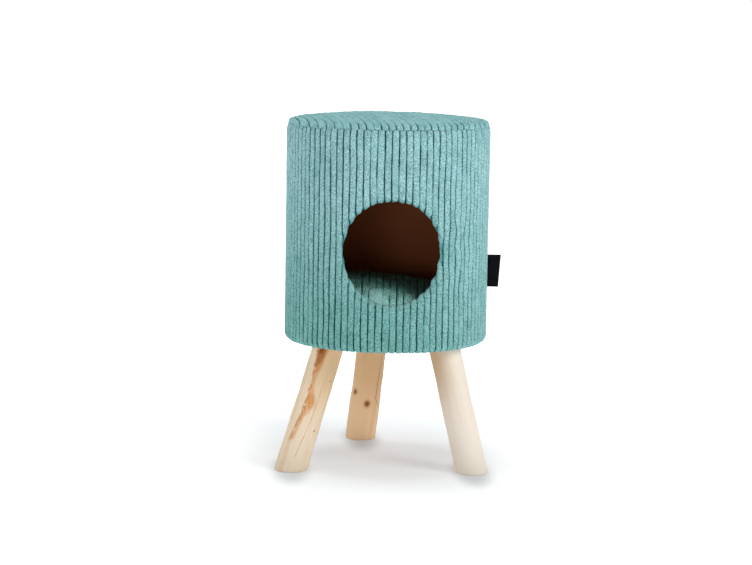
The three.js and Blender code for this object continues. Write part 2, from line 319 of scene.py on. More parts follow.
class Graph:
    """The node tree of one new material."""

    def __init__(self, name: str) -> None:
        """Starts an empty tree."""
        self.material = bpy.data.materials.new(name)
        self.material.use_nodes = True
        self.tree = self.material.node_tree
        self.tree.nodes.clear()

    def node(
        self,
        kind: str,
        settings: Mapping[str, Any] | None = None,
        inputs: Mapping[str | int, Any] | None = None,
        output: str | int = 0,
    ) -> Wire:
        """Adds a node.

        Args:
            kind: The node's type.
            settings: Its own settings, which are set first.
            inputs: Values or wires of its input sockets, by name or number.
            output: Name or number of the socket to return.

        Returns:
            The output socket as a wire.
        """
        made = self.tree.nodes.new(kind)
        for key, value in (settings or {}).items():
            setattr(made, key, value)
        for key, value in (inputs or {}).items():
            if isinstance(value, Wire):
                self.tree.links.new(value.socket, made.inputs[key])
            else:
                made.inputs[key].default_value = value
        return Wire(self, made.outputs[output])

    def mix(self, share: Any, first: Any, second: Any, blend: str = "MIX") -> Wire:
        """Mixes two colours.

        Args:
            share: How much of the second colour, 0 to 1.
            first: Colour or wire.
            second: Colour or wire.
            blend: Way of blending.

        Returns:
            The mixed colour.
        """
        settings = {"data_type": "RGBA", "blend_type": blend, "clamp_factor": True}
        return self.node("ShaderNodeMix", settings, {0: share, 6: first, 7: second}, 2)

    def value(self, name: str, output: str = "Fac") -> Wire:
        """Reads a value kept at the piece's points."""
        return self.node("ShaderNodeAttribute", {"attribute_name": name}, output=output)

    def place(self, scale: Sequence[float], turn: float = 0.0) -> Wire:
        """The place on the piece, scaled in each direction and turned about the upright axis.

        Args:
            scale: Scale in the three directions.
            turn: Turn in radians, made before the scaling.

        Returns:
            The place as a vector.
        """
        here = self.node("ShaderNodeTexCoord", output="Object")
        if turn:
            inputs = {"Vector": here, "Rotation": (0, 0, turn)}
            here = self.node("ShaderNodeMapping", {"vector_type": "POINT"}, inputs)
        return self.node("ShaderNodeVectorMath", {"operation": "MULTIPLY"}, {0: here, 1: tuple(scale)})

    def parts(self, vector: Wire) -> list[Wire]:
        """The three parts of a vector."""
        split = self.node("ShaderNodeSeparateXYZ", None, {0: vector}).socket.node
        return [Wire(self, socket) for socket in split.outputs]

    def noise(self, place: Wire, scale: float, detail: float = 2.0, roughness: float = 0.5) -> Wire:
        """Noise from 0 to 1 at a place.

        Args:
            place: Where, as a vector.
            scale: Lumps to a unit of length.
            detail: Number of finer layers.
            roughness: Weight of the finer layers.

        Returns:
            The noise.
        """
        inputs = {"Vector": place, "Scale": scale, "Detail": detail, "Roughness": roughness}
        return self.node("ShaderNodeTexNoise", None, inputs, "Fac")

    def bump(self, height: Wire, distance: float, strength: float = 1.0) -> Wire:
        """A normal that follows a height."""
        inputs = {"Height": height, "Distance": distance, "Strength": strength}
        return self.node("ShaderNodeBump", None, inputs, "Normal")

    def finish(self, inputs: Mapping[str, Any]) -> bpy.types.Material:
        """Ends the tree with the main shader.

        Args:
            inputs: Values or wires of the shader's sockets.

        Returns:
            The finished material.
        """
        shader = self.node("ShaderNodeBsdfPrincipled", None, inputs)
        end = self.tree.nodes.new("ShaderNodeOutputMaterial")
        self.tree.links.new(shader.socket, end.inputs["Surface"])
        return self.material


class Finish:
    """What all finishes share: each gives the main shader's sockets their values."""

    def sockets(self, graph: Graph) -> dict[str, Any]:
        """Values or wires of the main shader's sockets, by name."""
        raise NotImplementedError

    def material(self, name: str) -> bpy.types.Material:
        """Makes the material.

        Args:
            name: Name of the material.

        Returns:
            The material.
        """
        graph = Graph(name)
        return graph.finish(self.sockets(graph))


@dataclass(frozen=True)
class CorduroyFinish(Finish):
    """Brushed cotton pile: speckled crests, grooves darkened by painted shade, a soft sheen.

    Attributes:
        light: Colour of pile that leans to the light.
        dark: Colour of pile that leans away.
        shade: Painted shade: tint of the pile beside a groove.
        groove: Painted shade: colour in the bottom of a groove.
        low_shade_tint: Painted shade: tint that darkens and greens the pile low on the drum.
        sheen: Colour of its sheen.
        turn: Turn of the wales about the upright axis, in radians.
        lying: Whether the wales lie flat, along Y, and don't stand upright.
        tufts: Tufts to a metre across the wales.
        long_tufts: How many there are along a wale for each one across it.
        patches: Patches of like tufts to a metre.
        fibres: Fibres to a metre.
        speckle: How much tufts differ in the way they lean.
        patchy: How much patches differ.
        toned: How much one step of the tone kept at the points counts.
        shaded: Depths of a groove between which the painted shade sets in.
        darkened: Depths between which the groove's painted shade colour sets in.
    """

    light: Colour = linear(167, 207, 210)
    dark: Colour = linear(95, 141, 144)
    shade: Colour = (0.4, 0.78, 0.77, 1.0)
    groove: Colour = linear(8, 42, 42)
    low_shade_tint: Colour = (0.6, 0.78, 0.71, 1.0)
    sheen: Colour = linear(190, 226, 226)
    turn: float = 0.0
    lying: bool = False
    tufts: float = 800.0
    long_tufts: float = 0.55
    patches: float = 60.0
    fibres: float = 1700.0
    speckle: float = 3.2
    patchy: float = 0.25
    toned: float = 0.05
    shaded: tuple[float, float] = (0.05, 0.4)
    darkened: tuple[float, float] = (0.15, 0.8)

    def sockets(self, graph: Graph) -> dict[str, Any]:
        """Tufts, patches and the kept tone, which holds painted light and shade in places, lean the pile to
        light or dark. Grooves get painted shade: tinted, then dark.

        Args:
            graph: The material's graph.

        Returns:
            Values or wires of the main shader, by socket.
        """
        stretch = (1.0, self.long_tufts, 1.0) if self.lying else (1.0, 1.0, self.long_tufts)
        here = graph.place(stretch, -self.turn)
        tuft = graph.noise(here, self.tufts, 2.0, 0.6)
        patch = graph.noise(here, self.patches, 1.0)
        fibre = graph.noise(here, self.fibres, 1.0)
        lean = 0.5 + self.speckle * (tuft - 0.5) + self.patchy * (patch - 0.5)
        lean = lean + self.toned * graph.value("tone")
        pile = graph.mix(lean.ramp(0.0, 1.0), self.dark, self.light)
        # Painted shade: the pile is darker and greener low on the drum.
        pile = graph.mix(graph.value("painted_low_shade"), pile, self.low_shade_tint, "MULTIPLY")
        # Painted shade: the pile is tinted beside a groove and darkened in its bottom.
        depth = graph.value("groove")
        pile = graph.mix(depth.ramp(*self.shaded), pile, self.shade, "MULTIPLY")
        return {
            "Base Color": graph.mix(depth.ramp(*self.darkened), pile, self.groove),
            "Roughness": 0.82 + 0.16 * tuft,
            "Specular IOR Level": 0.15,
            "Sheen Weight": 0.1,
            "Sheen Roughness": 0.45,
            "Sheen Tint": self.sheen,
            "Normal": graph.bump(tuft + 0.35 * fibre, 0.9 * MM, 0.55),
        }


SIDE_CORDUROY = CorduroyFinish()
TOP_CORDUROY = CorduroyFinish(
    light=linear(160, 206, 209),
    dark=linear(94, 144, 147),
    shade=(0.72, 0.9, 0.89, 1.0),
    lying=True,
)
# Lighter at its light end than the side's cloth, for the painted light at the cushion's front.
CUSHION_CORDUROY = CorduroyFinish(
    light=linear(184, 246, 238),
    dark=linear(62, 118, 106),
    groove=linear(26, 70, 66),
    lying=True,
)


@dataclass(frozen=True)
class BoardFinish(Finish):
    """Dark brown fibreboard: matt, with a faint fibrous mottle.

    Attributes:
        light: Brown where it is lightest.
        dark: Brown where it is darkest.
        mottles: Mottles to a metre.
        fibres: Fibres to a metre across them.
        long_fibres: How many there are upwards for each one across.
    """

    light: Colour = linear(158, 92, 54)
    dark: Colour = linear(136, 76, 42)
    mottles: float = 38.0
    fibres: float = 650.0
    long_fibres: float = 0.25

    def sockets(self, graph: Graph) -> dict[str, Any]:
        """Mottles and upright fibres, in nearly equal parts, mix the two browns.

        Args:
            graph: The material's graph.

        Returns:
            Values or wires of the main shader, by socket.
        """
        mottle = graph.noise(graph.place((1, 1, 1)), self.mottles, 4.0, 0.6)
        fibre = graph.noise(graph.place((1, 1, self.long_fibres)), self.fibres, 2.0, 0.6)
        return {
            "Base Color": graph.mix(0.55 * mottle + 0.45 * fibre, self.dark, self.light),
            "Roughness": 0.78 + 0.14 * fibre,
            "Specular IOR Level": 0.25,
            "Normal": graph.bump(fibre, 0.25 * MM, 0.5),
        }


@dataclass(frozen=True)
class RibbonFinish(Finish):
    """Black woven ribbon: fine ribs across it and a dull shine.

    Attributes:
        light: Colour on the threads.
        dark: Colour between them.
        thread: Distance between ribs.
        lint: Specks of lint to a metre.
    """

    light: Colour = linear(13, 13, 15)
    dark: Colour = linear(3, 3, 4)
    thread: float = 0.7 * MM
    lint: float = 1800.0

    def sockets(self, graph: Graph) -> dict[str, Any]:
        """Ribs follow a sine of the height, one turn a thread, and lint lightens them here and there.

        Args:
            graph: The material's graph.

        Returns:
            Values or wires of the main shader, by socket.
        """
        here = graph.place((1, 1, 1))
        height = graph.parts(here)[2]
        rib = 0.5 + 0.5 * (height * (2 * math.pi / self.thread)).sine()
        lint = graph.noise(here, self.lint, 1.0)
        shine = 0.7 * rib + 0.5 * (lint - 0.3)
        return {
            "Base Color": graph.mix(shine.ramp(0.0, 1.0), self.dark, self.light),
            "Roughness": 0.75 + 0.2 * lint,
            "Specular IOR Level": 0.12,
            "Normal": graph.bump(rib, 0.15 * MM, 0.6),
        }


@dataclass(frozen=True)
class Knot:
    """A knot on a leg: a dark core with a warm rim that fades into the wood.

    Attributes:
        turn: Turn of its middle, in degrees.
        share: Share of the leg's height at its middle.
        radius: Radius of its core.
    """

    turn: float
    share: float
    radius: float


@dataclass(frozen=True)
class Crack:
    """A fine crack with one bend: the bend's place, and how far it leans above and below it.

    Attributes:
        turn: Turn of the bend, in degrees.
        share: Share of the leg's height at the bend.
        above: Side step for each unit of height above the bend.
        below: Side step for each unit of height below it.
        top: Share of the height where it ends.
        bottom: Share of the height where it begins.
        width: Half width.
        fade: Share of the height over which each end fades.
        sway: How far it wanders.
    """

    turn: float
    share: float
    above: float
    below: float
    top: float
    bottom: float
    width: float
    fade: float = 0.03
    sway: float = 1.2 * MM


@dataclass(frozen=True)
class Streak:
    """A band of resin-stained wood down a leg: darkest at its upper end, widest there and half-way down.

    Attributes:
        low_turn: Turn of its lower end, in degrees.
        high_turn: Turn of its upper half, in degrees.
        bottom: Share of the leg's height where it begins.
        belly: Share of the height where it bulges to the right.
        width: Half width.
        belly_reach: Share of the height from the middle of the bulge to its end.
        crown: Shares of the height between which its upper end widens.
        low_end: Shares of the height above which its dark left edge fades, and where it is gone.
        fray: How far its edges are frayed.
    """

    low_turn: float
    high_turn: float
    bottom: float
    belly: float
    width: float
    belly_reach: float = 0.13
    crown: tuple[float, float] = (0.7, 0.95)
    low_end: tuple[float, float] = (0.5, 0.62)
    fray: float = 13 * MM


@dataclass(frozen=True)
class PoleWires:
    """What the marks on one pole are worked out from.

    Attributes:
        graph: The material's graph.
        around: Way round the pole.
        up: Height on the pole.
        ragged: Noise about 0, drawn out along the pole, that frays edges.
        flecks: Shorter noise about 0 that breaks up stains.
    """

    graph: Graph
    around: Wire
    up: Wire
    ragged: Wire
    flecks: Wire


@dataclass(frozen=True)
class WoodFinish(Finish):
    """Sanded pine pole: pale, with soft grain lines and the marks that one pole has.

    Attributes:
        light: Colour of the early wood.
        dark: Colour of the grain lines.
        seed: Shift that tells one pole's grain from another's.
        radius: Radius of the pole.
        length: Length of the pole.
        knots: Its knots.
        cracks: Its cracks.
        streaks: Its stained bands.
        painted_top_shade: Painted shade: darker, warmer tint of the wood at its upper end, under the drum.
        painted_shade_heights: Shares of the height where that painted shade begins and where it is full.
        shaded: Turns, in degrees, where that painted shade is full and where it has faded, or nothing if it
            is even.
        stain: Colour of a stained band.
        stain_core: Colour of its darkest strokes.
        knot_core: Colour of a knot.
        knot_rim: Colour of the wood round a knot.
        crack_line: Colour of a crack.
        lines: Grain lines to a metre across the grain.
        clouds: Broad light and dark places to a metre across it.
        pores: Pores to a metre across it.
        frays: Steps to a metre across it in what frays the marks.
        flecks: Flecks to a metre across it in a stain.
        long_grain: How many lines there are along the pole for each one across it.
        long_flecks: How many flecks there are along it for each one across.
    """

    light: Colour
    dark: Colour
    seed: float
    radius: float
    length: float
    knots: tuple[Knot, ...] = ()
    cracks: tuple[Crack, ...] = ()
    streaks: tuple[Streak, ...] = ()
    painted_top_shade: Colour = (0.82, 0.72, 0.6, 1.0)
    painted_shade_heights: tuple[float, float] = (0.1, 0.7)
    shaded: tuple[float, float] | None = None
    stain: Colour = linear(212, 142, 76)
    stain_core: Colour = linear(132, 66, 24)
    knot_core: Colour = linear(116, 56, 24)
    knot_rim: Colour = linear(184, 114, 64)
    crack_line: Colour = linear(140, 70, 30)
    lines: float = 160.0
    clouds: float = 34.0
    pores: float = 900.0
    frays: float = 420.0
    flecks: float = 330.0
    long_grain: float = 0.06
    long_flecks: float = 0.4

    def sockets(self, graph: Graph) -> dict[str, Any]:
        """Grain lines, clouds and pores mix the two colours. The top gets painted shade, and the marks lie
        over that.

        The pole's own places are kept at its points, as the value named pole.

        Args:
            graph: The material's graph.

        Returns:
            Values or wires of the main shader, by socket.
        """
        place = graph.value("pole", "Vector")
        out, side, up = graph.parts(place)
        around = self.radius * side.angle(out)
        drawn = self._drawn(graph, place, self.long_grain)
        lines = graph.noise(drawn, self.lines, 3.0, 0.6)
        cloud = graph.noise(drawn, self.clouds, 2.0)
        pore = graph.noise(drawn, self.pores, 2.0, 0.6)
        grain = 0.55 * lines + 0.45 * cloud + 0.12 * (pore - 0.5)
        colour = graph.mix(grain.ramp(0.42, 0.72), self.light, self.dark)
        # Painted shade under the drum: the upper end is darker and warmer, fuller on one side where shaded is
        # given.
        tint = 0.9 * (up / self.length).ramp(*self.painted_shade_heights)
        if self.shaded:
            full, faded = self.shaded
            tint = tint * (0.1 + 0.9 * around.ramp(self._arc(faded), self._arc(full)))
        colour = graph.mix(tint, colour, self.painted_top_shade, "MULTIPLY")
        ragged = graph.noise(drawn, self.frays, 2.0, 0.6) - 0.5
        flecked = self._drawn(graph, place, self.long_flecks)
        flecks = graph.noise(flecked, self.flecks, 3.0, 0.7) - 0.5
        pole = PoleWires(graph, around, up, ragged, flecks)
        for streak in self.streaks:
            colour = self._stained(colour, streak, pole)
        for knot in self.knots:
            colour = self._knotted(colour, knot, pole)
        for crack in self.cracks:
            colour = self._cracked(colour, crack, pole)
        return {
            "Base Color": colour,
            "Roughness": 0.52 + 0.18 * lines,
            "Specular IOR Level": 0.3,
            "Normal": graph.bump(0.6 * lines + 0.4 * pore, 0.25 * MM, 0.35),
        }

    def _drawn(self, graph: Graph, place: Wire, along: float) -> Wire:
        """Places for noise that is drawn out along the pole, shifted by the pole's seed."""
        inputs = {0: place, 1: (1, 1, along), 2: (self.seed, 0, 0)}
        return graph.node("ShaderNodeVectorMath", {"operation": "MULTIPLY_ADD"}, inputs)

    def _arc(self, turn: float) -> float:
        """Way round the pole of a turn in degrees."""
        return math.radians(turn) * self.radius

    def _stained(self, colour: Wire, streak: Streak, pole: PoleWires) -> Wire:
        """Lays one stained band over a colour.

        Across the band, 0 is its middle and 1 its usual edge. Flecks fray and break it. Dark strokes lie
        along the left edge of its lower half, and down the middle of its upper end.

        Args:
            colour: Colour under it.
            streak: The band.
            pole: The pole's wires.

        Returns:
            The new colour.
        """
        flecks = pole.flecks
        rise = pole.up / self.length
        belly = 1 - abs(rise - streak.belly).ramp(0.0, streak.belly_reach)
        crown = rise.ramp(*streak.crown)
        shift = self._arc(streak.high_turn - streak.low_turn) * rise.ramp(streak.bottom, streak.belly)
        middle = self._arc(streak.low_turn) + shift + 0.85 * streak.width * belly
        width = streak.width * (0.75 + 0.75 * belly + 0.85 * crown)
        across = (pole.around - middle + streak.fray * flecks) / width
        ends = rise.ramp(streak.bottom - 0.01, streak.bottom + 0.05)
        strength = 0.62 + 0.25 * belly + 0.5 * crown + 2.4 * flecks
        band = (1 - abs(across).ramp(0.45, 1.3)) * ends * strength.above(0.0)
        stained = pole.graph.mix(band, colour, self.stain)
        edge = (1 - abs(across + 0.6).ramp(0.1, 0.6)) * ends * (1 - rise.ramp(*streak.low_end))
        edge = edge * (0.1 + 5.0 * flecks)
        core = (1 - abs(across).ramp(0.15, 0.9)) * rise.ramp(0.72, 0.96) * (0.85 + 1.5 * flecks)
        return pole.graph.mix(edge.above(0.0) + core.above(0.0), stained, self.stain_core)

    def _knotted(self, colour: Wire, knot: Knot, pole: PoleWires) -> Wire:
        """Lays one knot over a colour: the distance from its middle, over its radius, tells core from rim.

        Args:
            colour: Colour under it.
            knot: The knot.
            pole: The pole's wires.

        Returns:
            The new colour.
        """
        sideways = pole.around - self._arc(knot.turn)
        upwards = (pole.up - knot.share * self.length) * 0.85
        far = (sideways**2 + upwards**2) ** 0.5 / knot.radius + 0.35 * pole.ragged
        warm = pole.graph.mix((1 - far.ramp(0.7, 2.3)) * 0.75, colour, self.knot_rim)
        core = (1 - far.ramp(0.7, 1.1)) * (0.75 + 0.5 * pole.ragged)
        return pole.graph.mix(core, warm, self.knot_core)

    def _cracked(self, colour: Wire, crack: Crack, pole: PoleWires) -> Wire:
        """Draws one crack on a colour: dark where the way to its bent line is under its half width.

        Args:
            colour: Colour under it.
            crack: The crack.
            pole: The pole's wires.

        Returns:
            The new colour.
        """
        rise = pole.up - crack.share * self.length
        lean = crack.above * rise.above(0.0) + crack.below * (0 - rise).above(0.0)
        off = abs(pole.around - (self._arc(crack.turn) + lean) + crack.sway * pole.ragged)
        line = 1 - off.ramp(0.5 * crack.width, 1.8 * crack.width)
        share = pole.up / self.length
        ends = share.ramp(crack.bottom, crack.bottom + crack.fade)
        ends = ends * (1 - share.ramp(crack.top - crack.fade, crack.top))
        return pole.graph.mix(line * ends * (0.8 + pole.ragged), colour, self.crack_line)


@dataclass(frozen=True)
class Corduroy:
    """Wide-wale cloth before it is sewn: wales along the second direction, grooves at whole pitches.

    Attributes:
        pitch: From groove to groove.
        height: Height of a wale over its groove.
        groove: From a groove's middle to the flat of a wale.
        sharpness: How steeply the pile rises out of a groove.
        depth: Usual depth of a groove, as a share of the height.
        uneven: Spread of that depth.
        closed: Usual length of a stretch that the pile closes.
        lump: Usual size of a lump in the pile, across and along the wales.
        lumpy: Spread of the lumps, as a share of the height.
        toned: Usual length of a stretch of one tone.
        around: Length after which the cloth meets itself, or 0.
        seed: Seed of its unevenness.
        phases: Places of the mesh's columns on one wale, as shares of the pitch.
    """

    pitch: float
    height: float = 3.4 * MM
    groove: float = 2.5 * MM
    sharpness: float = 2.4
    depth: float = 0.82
    uneven: float = 0.22
    closed: float = 110 * MM
    lump: tuple[float, float] = (9 * MM, 14 * MM)
    lumpy: float = 0.05
    toned: float = 55 * MM
    around: float = 0.0
    seed: int = 3
    phases: tuple[float, ...] = (0.0, 0.05, 0.11, 0.2, 0.4, 0.6, 0.8, 0.89, 0.95)

    def columns(self, first: int, last: int) -> np.ndarray:
        """Places of the mesh's columns across the wales from one groove up to another.

        Args:
            first: Number of the first groove.
            last: Number of the groove after the last wale.

        Returns:
            Distances across the cloth.
        """
        wales = np.arange(first, last)[:, None] + np.array(self.phases)
        return wales.ravel() * self.pitch

    def relief(self, across: np.ndarray, along: np.ndarray) -> np.ndarray:
        """Share of the full wale height at places on the cloth.

        With d the distance to the nearest groove, the pile rises as 1 - (1 - d / groove) to a power. Some
        stretches of a groove are closed by the pile, so that they are shallower.

        Args:
            across: Distance across the wales from a groove.
            along: Distance along the wales.

        Returns:
            0 in a deep groove to 1 on a crest, give or take the lumps of the pile.
        """
        number = np.round(across / self.pitch)
        away = np.abs(across - number * self.pitch)
        share = np.clip(away / self.groove, 0, 1)
        closing = Waves(self.seed, 1.4 * self.pitch, self.closed, self.around)
        depth = self.depth + self.uneven * closing.at(number * self.pitch, along)
        depth = np.clip(depth, self.depth - 1.7 * self.uneven, 1.0)
        lumps = Waves(self.seed + 1, *self.lump, self.around).at(across, along)
        return 1 - depth * (1 - share) ** self.sharpness + self.lumpy * lumps

    def tone(self, across: np.ndarray, along: np.ndarray) -> np.ndarray:
        """How light the pile is, wale by wale, as its brushing left it: even noise of unit spread."""
        wale = np.floor(across / self.pitch) * self.pitch
        return Waves(self.seed + 2, 1.3 * self.pitch, self.toned, self.around).at(wale, along)


@dataclass(frozen=True)
class Mouth:
    """The round mouth on the unrolled side panel.

    Attributes:
        height: Height of its middle.
        radius: Its radius.
    """

    height: float = 337.5 * MM
    radius: float = 76 * MM

    def edge(self, turn: np.ndarray, outwards: float | np.ndarray) -> tuple[np.ndarray, np.ndarray]:
        """Arc and height of its edge at a turn, moved outwards: places on a larger circle.

        Args:
            turn: Angle, 0 to the right and anticlockwise as seen from outside.
            outwards: Distance out from the edge.

        Returns:
            Arc lengths and heights.
        """
        reach = self.radius + outwards
        return reach * np.cos(turn), self.height + reach * np.sin(turn)

    def turn_at(self, arc: np.ndarray, outwards: float) -> np.ndarray:
        """Turn, from 0 to pi, at which the upper edge, moved outwards, has an arc length."""
        return np.arccos(np.clip(arc / (self.radius + outwards), -1, 1))


@dataclass
class HoledTube:
    """Grid on a tube whose columns part round the mouth, so that every column stays upright.

    The columns inside the mouth's boundary end on it from below and begin on it again above. The columns
    outside run past it, and the two that touch it share one point with it.

    Attributes:
        mouth: The mouth.
        outwards: How far outside the mouth's edge the boundary is.
        columns: Arc lengths of the columns, rising all round the tube.
        steep: Turn, in degrees, up to which columns are added where the boundary is steepest.
        steep_step: Degrees from one of these to the next.
        least_gap: Other columns that are nearer to one of these are left out.
    """

    mouth: Mouth
    outwards: float
    columns: np.ndarray
    steep: float = 50.0
    steep_step: float = 1.4
    least_gap: float = 0.12 * MM

    def __post_init__(self) -> None:
        """Adds columns where the boundary is steepest and works out where each column meets it."""
        reach = self.mouth.radius + self.outwards
        steep = reach * np.cos(np.radians(np.arange(0, self.steep, self.steep_step)))
        near = np.concatenate([steep, -steep])
        apart = np.abs(self.columns[:, None] - near).min(axis=1) > self.least_gap
        self.columns = np.sort(np.concatenate([self.columns[apart], near]))
        self.inside = np.abs(self.columns) < reach - TOUCHING
        turn = self.mouth.turn_at(self.columns[self.inside], self.outwards)
        self.low = np.full(len(self.columns), self.mouth.height)
        self.high = self.low.copy()
        self.low[self.inside] = self.mouth.edge(-turn, self.outwards)[1]
        self.high[self.inside] = self.mouth.edge(turn, self.outwards)[1]
        self.ring_turns = np.concatenate([[0.0], turn[::-1], [np.pi], 2 * np.pi - turn])

    def numbers(self, lower_rows: int, upper_rows: int) -> tuple[np.ndarray, np.ndarray, np.ndarray]:
        """Numbers the points: the lower rows, the parted part of the first upper row, then the others.

        Args:
            lower_rows: Rows up to the boundary.
            upper_rows: Rows from the boundary up.

        Returns:
            Numbers of the lower grid, the upper grid, and the boundary, anticlockwise from the right.
        """
        width = len(self.columns)
        lower = np.arange(lower_rows * width).reshape(lower_rows, width)
        parted = lower.size + np.arange(self.inside.sum())
        upper = lower.size + len(parted) + np.arange((upper_rows - 1) * width).reshape(-1, width)
        first = lower[-1].copy()
        first[self.inside] = parted
        ends = np.flatnonzero(self.inside)[[-1, 0]] + [1, -1]
        right, left = lower[-1][ends]
        ring = np.concatenate([[right], parted[::-1], [left], lower[-1][self.inside]])
        return lower, np.vstack([first, upper]), ring

    def gather(self, lower: np.ndarray, upper: np.ndarray) -> np.ndarray:
        """Puts values on the two grids in the order of their numbers.

        Args:
            lower: Values on the lower grid, rows by columns, and perhaps parts.
            upper: Values on the upper grid.

        Returns:
            One row of values a point.
        """
        tail = lower.shape[2:]
        parts = [lower.reshape(-1, *tail), upper[0][self.inside], upper[1:].reshape(-1, *tail)]
        return np.concatenate(parts)


@dataclass
class Drum:
    """The drum's main sizes, read from the frame.

    Attributes:
        axis: Where its axis stands.
        radius: To the crests of the wales.
        bottom: Height of its underside.
        seam: Height of the seam between side and top.
        wales: Number of wales round it.
        seam_turn: Turn of the upright seam from +X.
        waist: How much slimmer the drum is at its middle.
        gather: How far the seam draws side and top in.
        straight_turn: Turn from the mouth's middle, in radians, past which nothing runs straight back.
        straight_fade: Turn over which that fades.
    """

    axis: np.ndarray
    radius: float
    bottom: float
    seam: float
    wales: int = 92
    seam_turn: float = math.radians(-1.3)
    waist: float = 0.4 * MM
    gather: float = 2.2 * MM
    straight_turn: float = 0.85
    straight_fade: float = 0.25

    @classmethod
    def from_frame(cls) -> "Drum":
        """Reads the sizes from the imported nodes' boxes."""
        low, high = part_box("drum_wall")
        cover_low, cover_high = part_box("side_cover")
        middle = (low + high) / 2
        radius = (cover_high.y - cover_low.y) / 2
        return cls(np.array([middle.x, middle.y]), radius, cover_low.z, cover_high.z)

    @property
    def round(self) -> float:
        """Length of the side panel round the drum."""
        return 2 * math.pi * self.radius

    @property
    def pitch(self) -> float:
        """Distance between grooves round the drum."""
        return self.round / self.wales

    @property
    def seam_arc(self) -> float:
        """Arc length of the upright seam from the middle of the mouth."""
        return self.radius * (self.seam_turn + math.pi / 2)

    def place(self, arc: np.ndarray, radius: np.ndarray, height: np.ndarray) -> np.ndarray:
        """Points at arc lengths, distances from the axis and heights: the panel rolled up.

        Args:
            arc: Arc lengths from the middle of the mouth.
            radius: Distances from the axis.
            height: Heights.

        Returns:
            Points, one row of three each.
        """
        turn = arc / self.radius - np.pi / 2
        x = self.axis[0] + radius * np.cos(turn)
        y = self.axis[1] + radius * np.sin(turn)
        return vectors(x, y, height)

    def straight_back(self, arc: np.ndarray, ground: float, radius: float) -> np.ndarray:
        """Arc at which a line straight back, along Y, meets another radius. Far from the mouth it fades out.

        Args:
            arc: Arc lengths on the first radius.
            ground: The first radius.
            radius: The second radius.

        Returns:
            Arc lengths on the second radius.
        """
        turn = arc / self.radius
        met = self.radius * np.arcsin(np.clip(ground * np.sin(turn) / radius, -1, 1))
        return arc + smooth_step((self.straight_turn - np.abs(turn)) / self.straight_fade) * (met - arc)

    def slack(self, height: np.ndarray) -> np.ndarray:
        """How far the side lies inside a straight tube: a parabola, deepest at the drum's middle."""
        share = (height - self.bottom) / (self.seam - self.bottom)
        return self.waist * np.clip(4 * share * (1 - share), 0, 1)


@dataclass(frozen=True)
class Wander:
    """Sideways wander of the wales: slight all round, and stronger at a place to the right of the mouth.

    Attributes:
        slight: Spread of the slight wander.
        slight_waves: Its usual wave lengths, across and along the wales.
        strong: Spread of the stronger one.
        strong_waves: Its usual wave lengths.
        place: Arc length and height of the middle of that place.
        reach: Half width and half height of that place.
        settled: Height above the drum's bottom from which both are full.
        seeds: Seeds of the two.
    """

    slight: float = 0.45 * MM
    slight_waves: tuple[float, float] = (50 * MM, 150 * MM)
    strong: float = 1.7 * MM
    strong_waves: tuple[float, float] = (55 * MM, 75 * MM)
    place: tuple[float, float] = (118 * MM, 350 * MM)
    reach: tuple[float, float] = (42 * MM, 75 * MM)
    settled: float = 40 * MM
    seeds: tuple[int, int] = (11, 12)

    def at(self, arc: np.ndarray, height: np.ndarray, drum: Drum) -> np.ndarray:
        """Sideways steps at places on the panel. The stronger wander fades as a bell curve round its place.

        Args:
            arc: Arc lengths.
            height: Heights.
            drum: The drum that the panel covers.

        Returns:
            Sideways steps.
        """
        slight = Waves(self.seeds[0], *self.slight_waves, drum.round).at(arc, height)
        strong = Waves(self.seeds[1], *self.strong_waves, drum.round).at(arc, height)
        aside = (arc - self.place[0]) / self.reach[0]
        above = (height - self.place[1]) / self.reach[1]
        near = np.exp(-(aside**2) - above**2)
        settled = smooth_step((height - drum.bottom) / self.settled)
        return (self.slight * slight + self.strong * strong * near) * settled


@dataclass(frozen=True)
class Lip:
    """The side panel's edge at the mouth: straight, then rolled a quarter round, then straight back along Y.

    Attributes:
        width: From the flat panel to the mouth's edge.
        straight: Part of that before the roll begins.
        roll: Radius of the roll.
        depth: How far the turned-in edge reaches behind the backing.
        uneven: Spread of the mouth's edge about its circle.
        lump: Usual length of that unevenness.
        seed: Seed of it.
        sides: Cosines of the turn between which the wales soften at the mouth's sides.
        soft: How much flatter they are there.
        scallop: How much rounder each wale is where it turns into the mouth.
        sunk: How much lower the wales are at the cut edge.
        lit: Painted light on the roll: a highlight below the mouth and painted shade above it, in steps of
            tone.
        pale: Painted highlight: how much paler the grooves are below the mouth.
        upright: Cosines of the turn between which the mesh goes from pointing inwards to following the wales.
    """

    width: float = 8.4 * MM
    straight: float = 1.0 * MM
    roll: float = 3.6 * MM
    depth: float = 11.5 * MM
    uneven: float = 0.6 * MM
    lump: float = 17 * MM
    seed: int = 13
    sides: tuple[float, float] = (0.75, 0.95)
    soft: float = 0.55
    scallop: float = 0.6
    sunk: float = 0.6
    lit: float = 10.0
    pale: float = 0.9
    upright: tuple[float, float] = (0.9, 0.65)

    @property
    def quarter(self) -> float:
        """Length of cloth in the roll."""
        return self.roll * math.pi / 2

    @property
    def inner(self) -> float:
        """Length of cloth behind the roll."""
        return self.depth - self.roll

    def rows(self) -> np.ndarray:
        """Places of the mesh's rows along the cloth.

        Returns:
            Lengths from the flat panel inwards, as a column.
        """
        flat = np.linspace(0, self.straight, 3)[1:]
        rolled = self.straight + np.linspace(0, self.quarter, 9)[1:]
        behind = self.straight + self.quarter + np.linspace(0, self.inner, 4)[1:]
        return np.concatenate([flat, rolled, behind])[:, None]


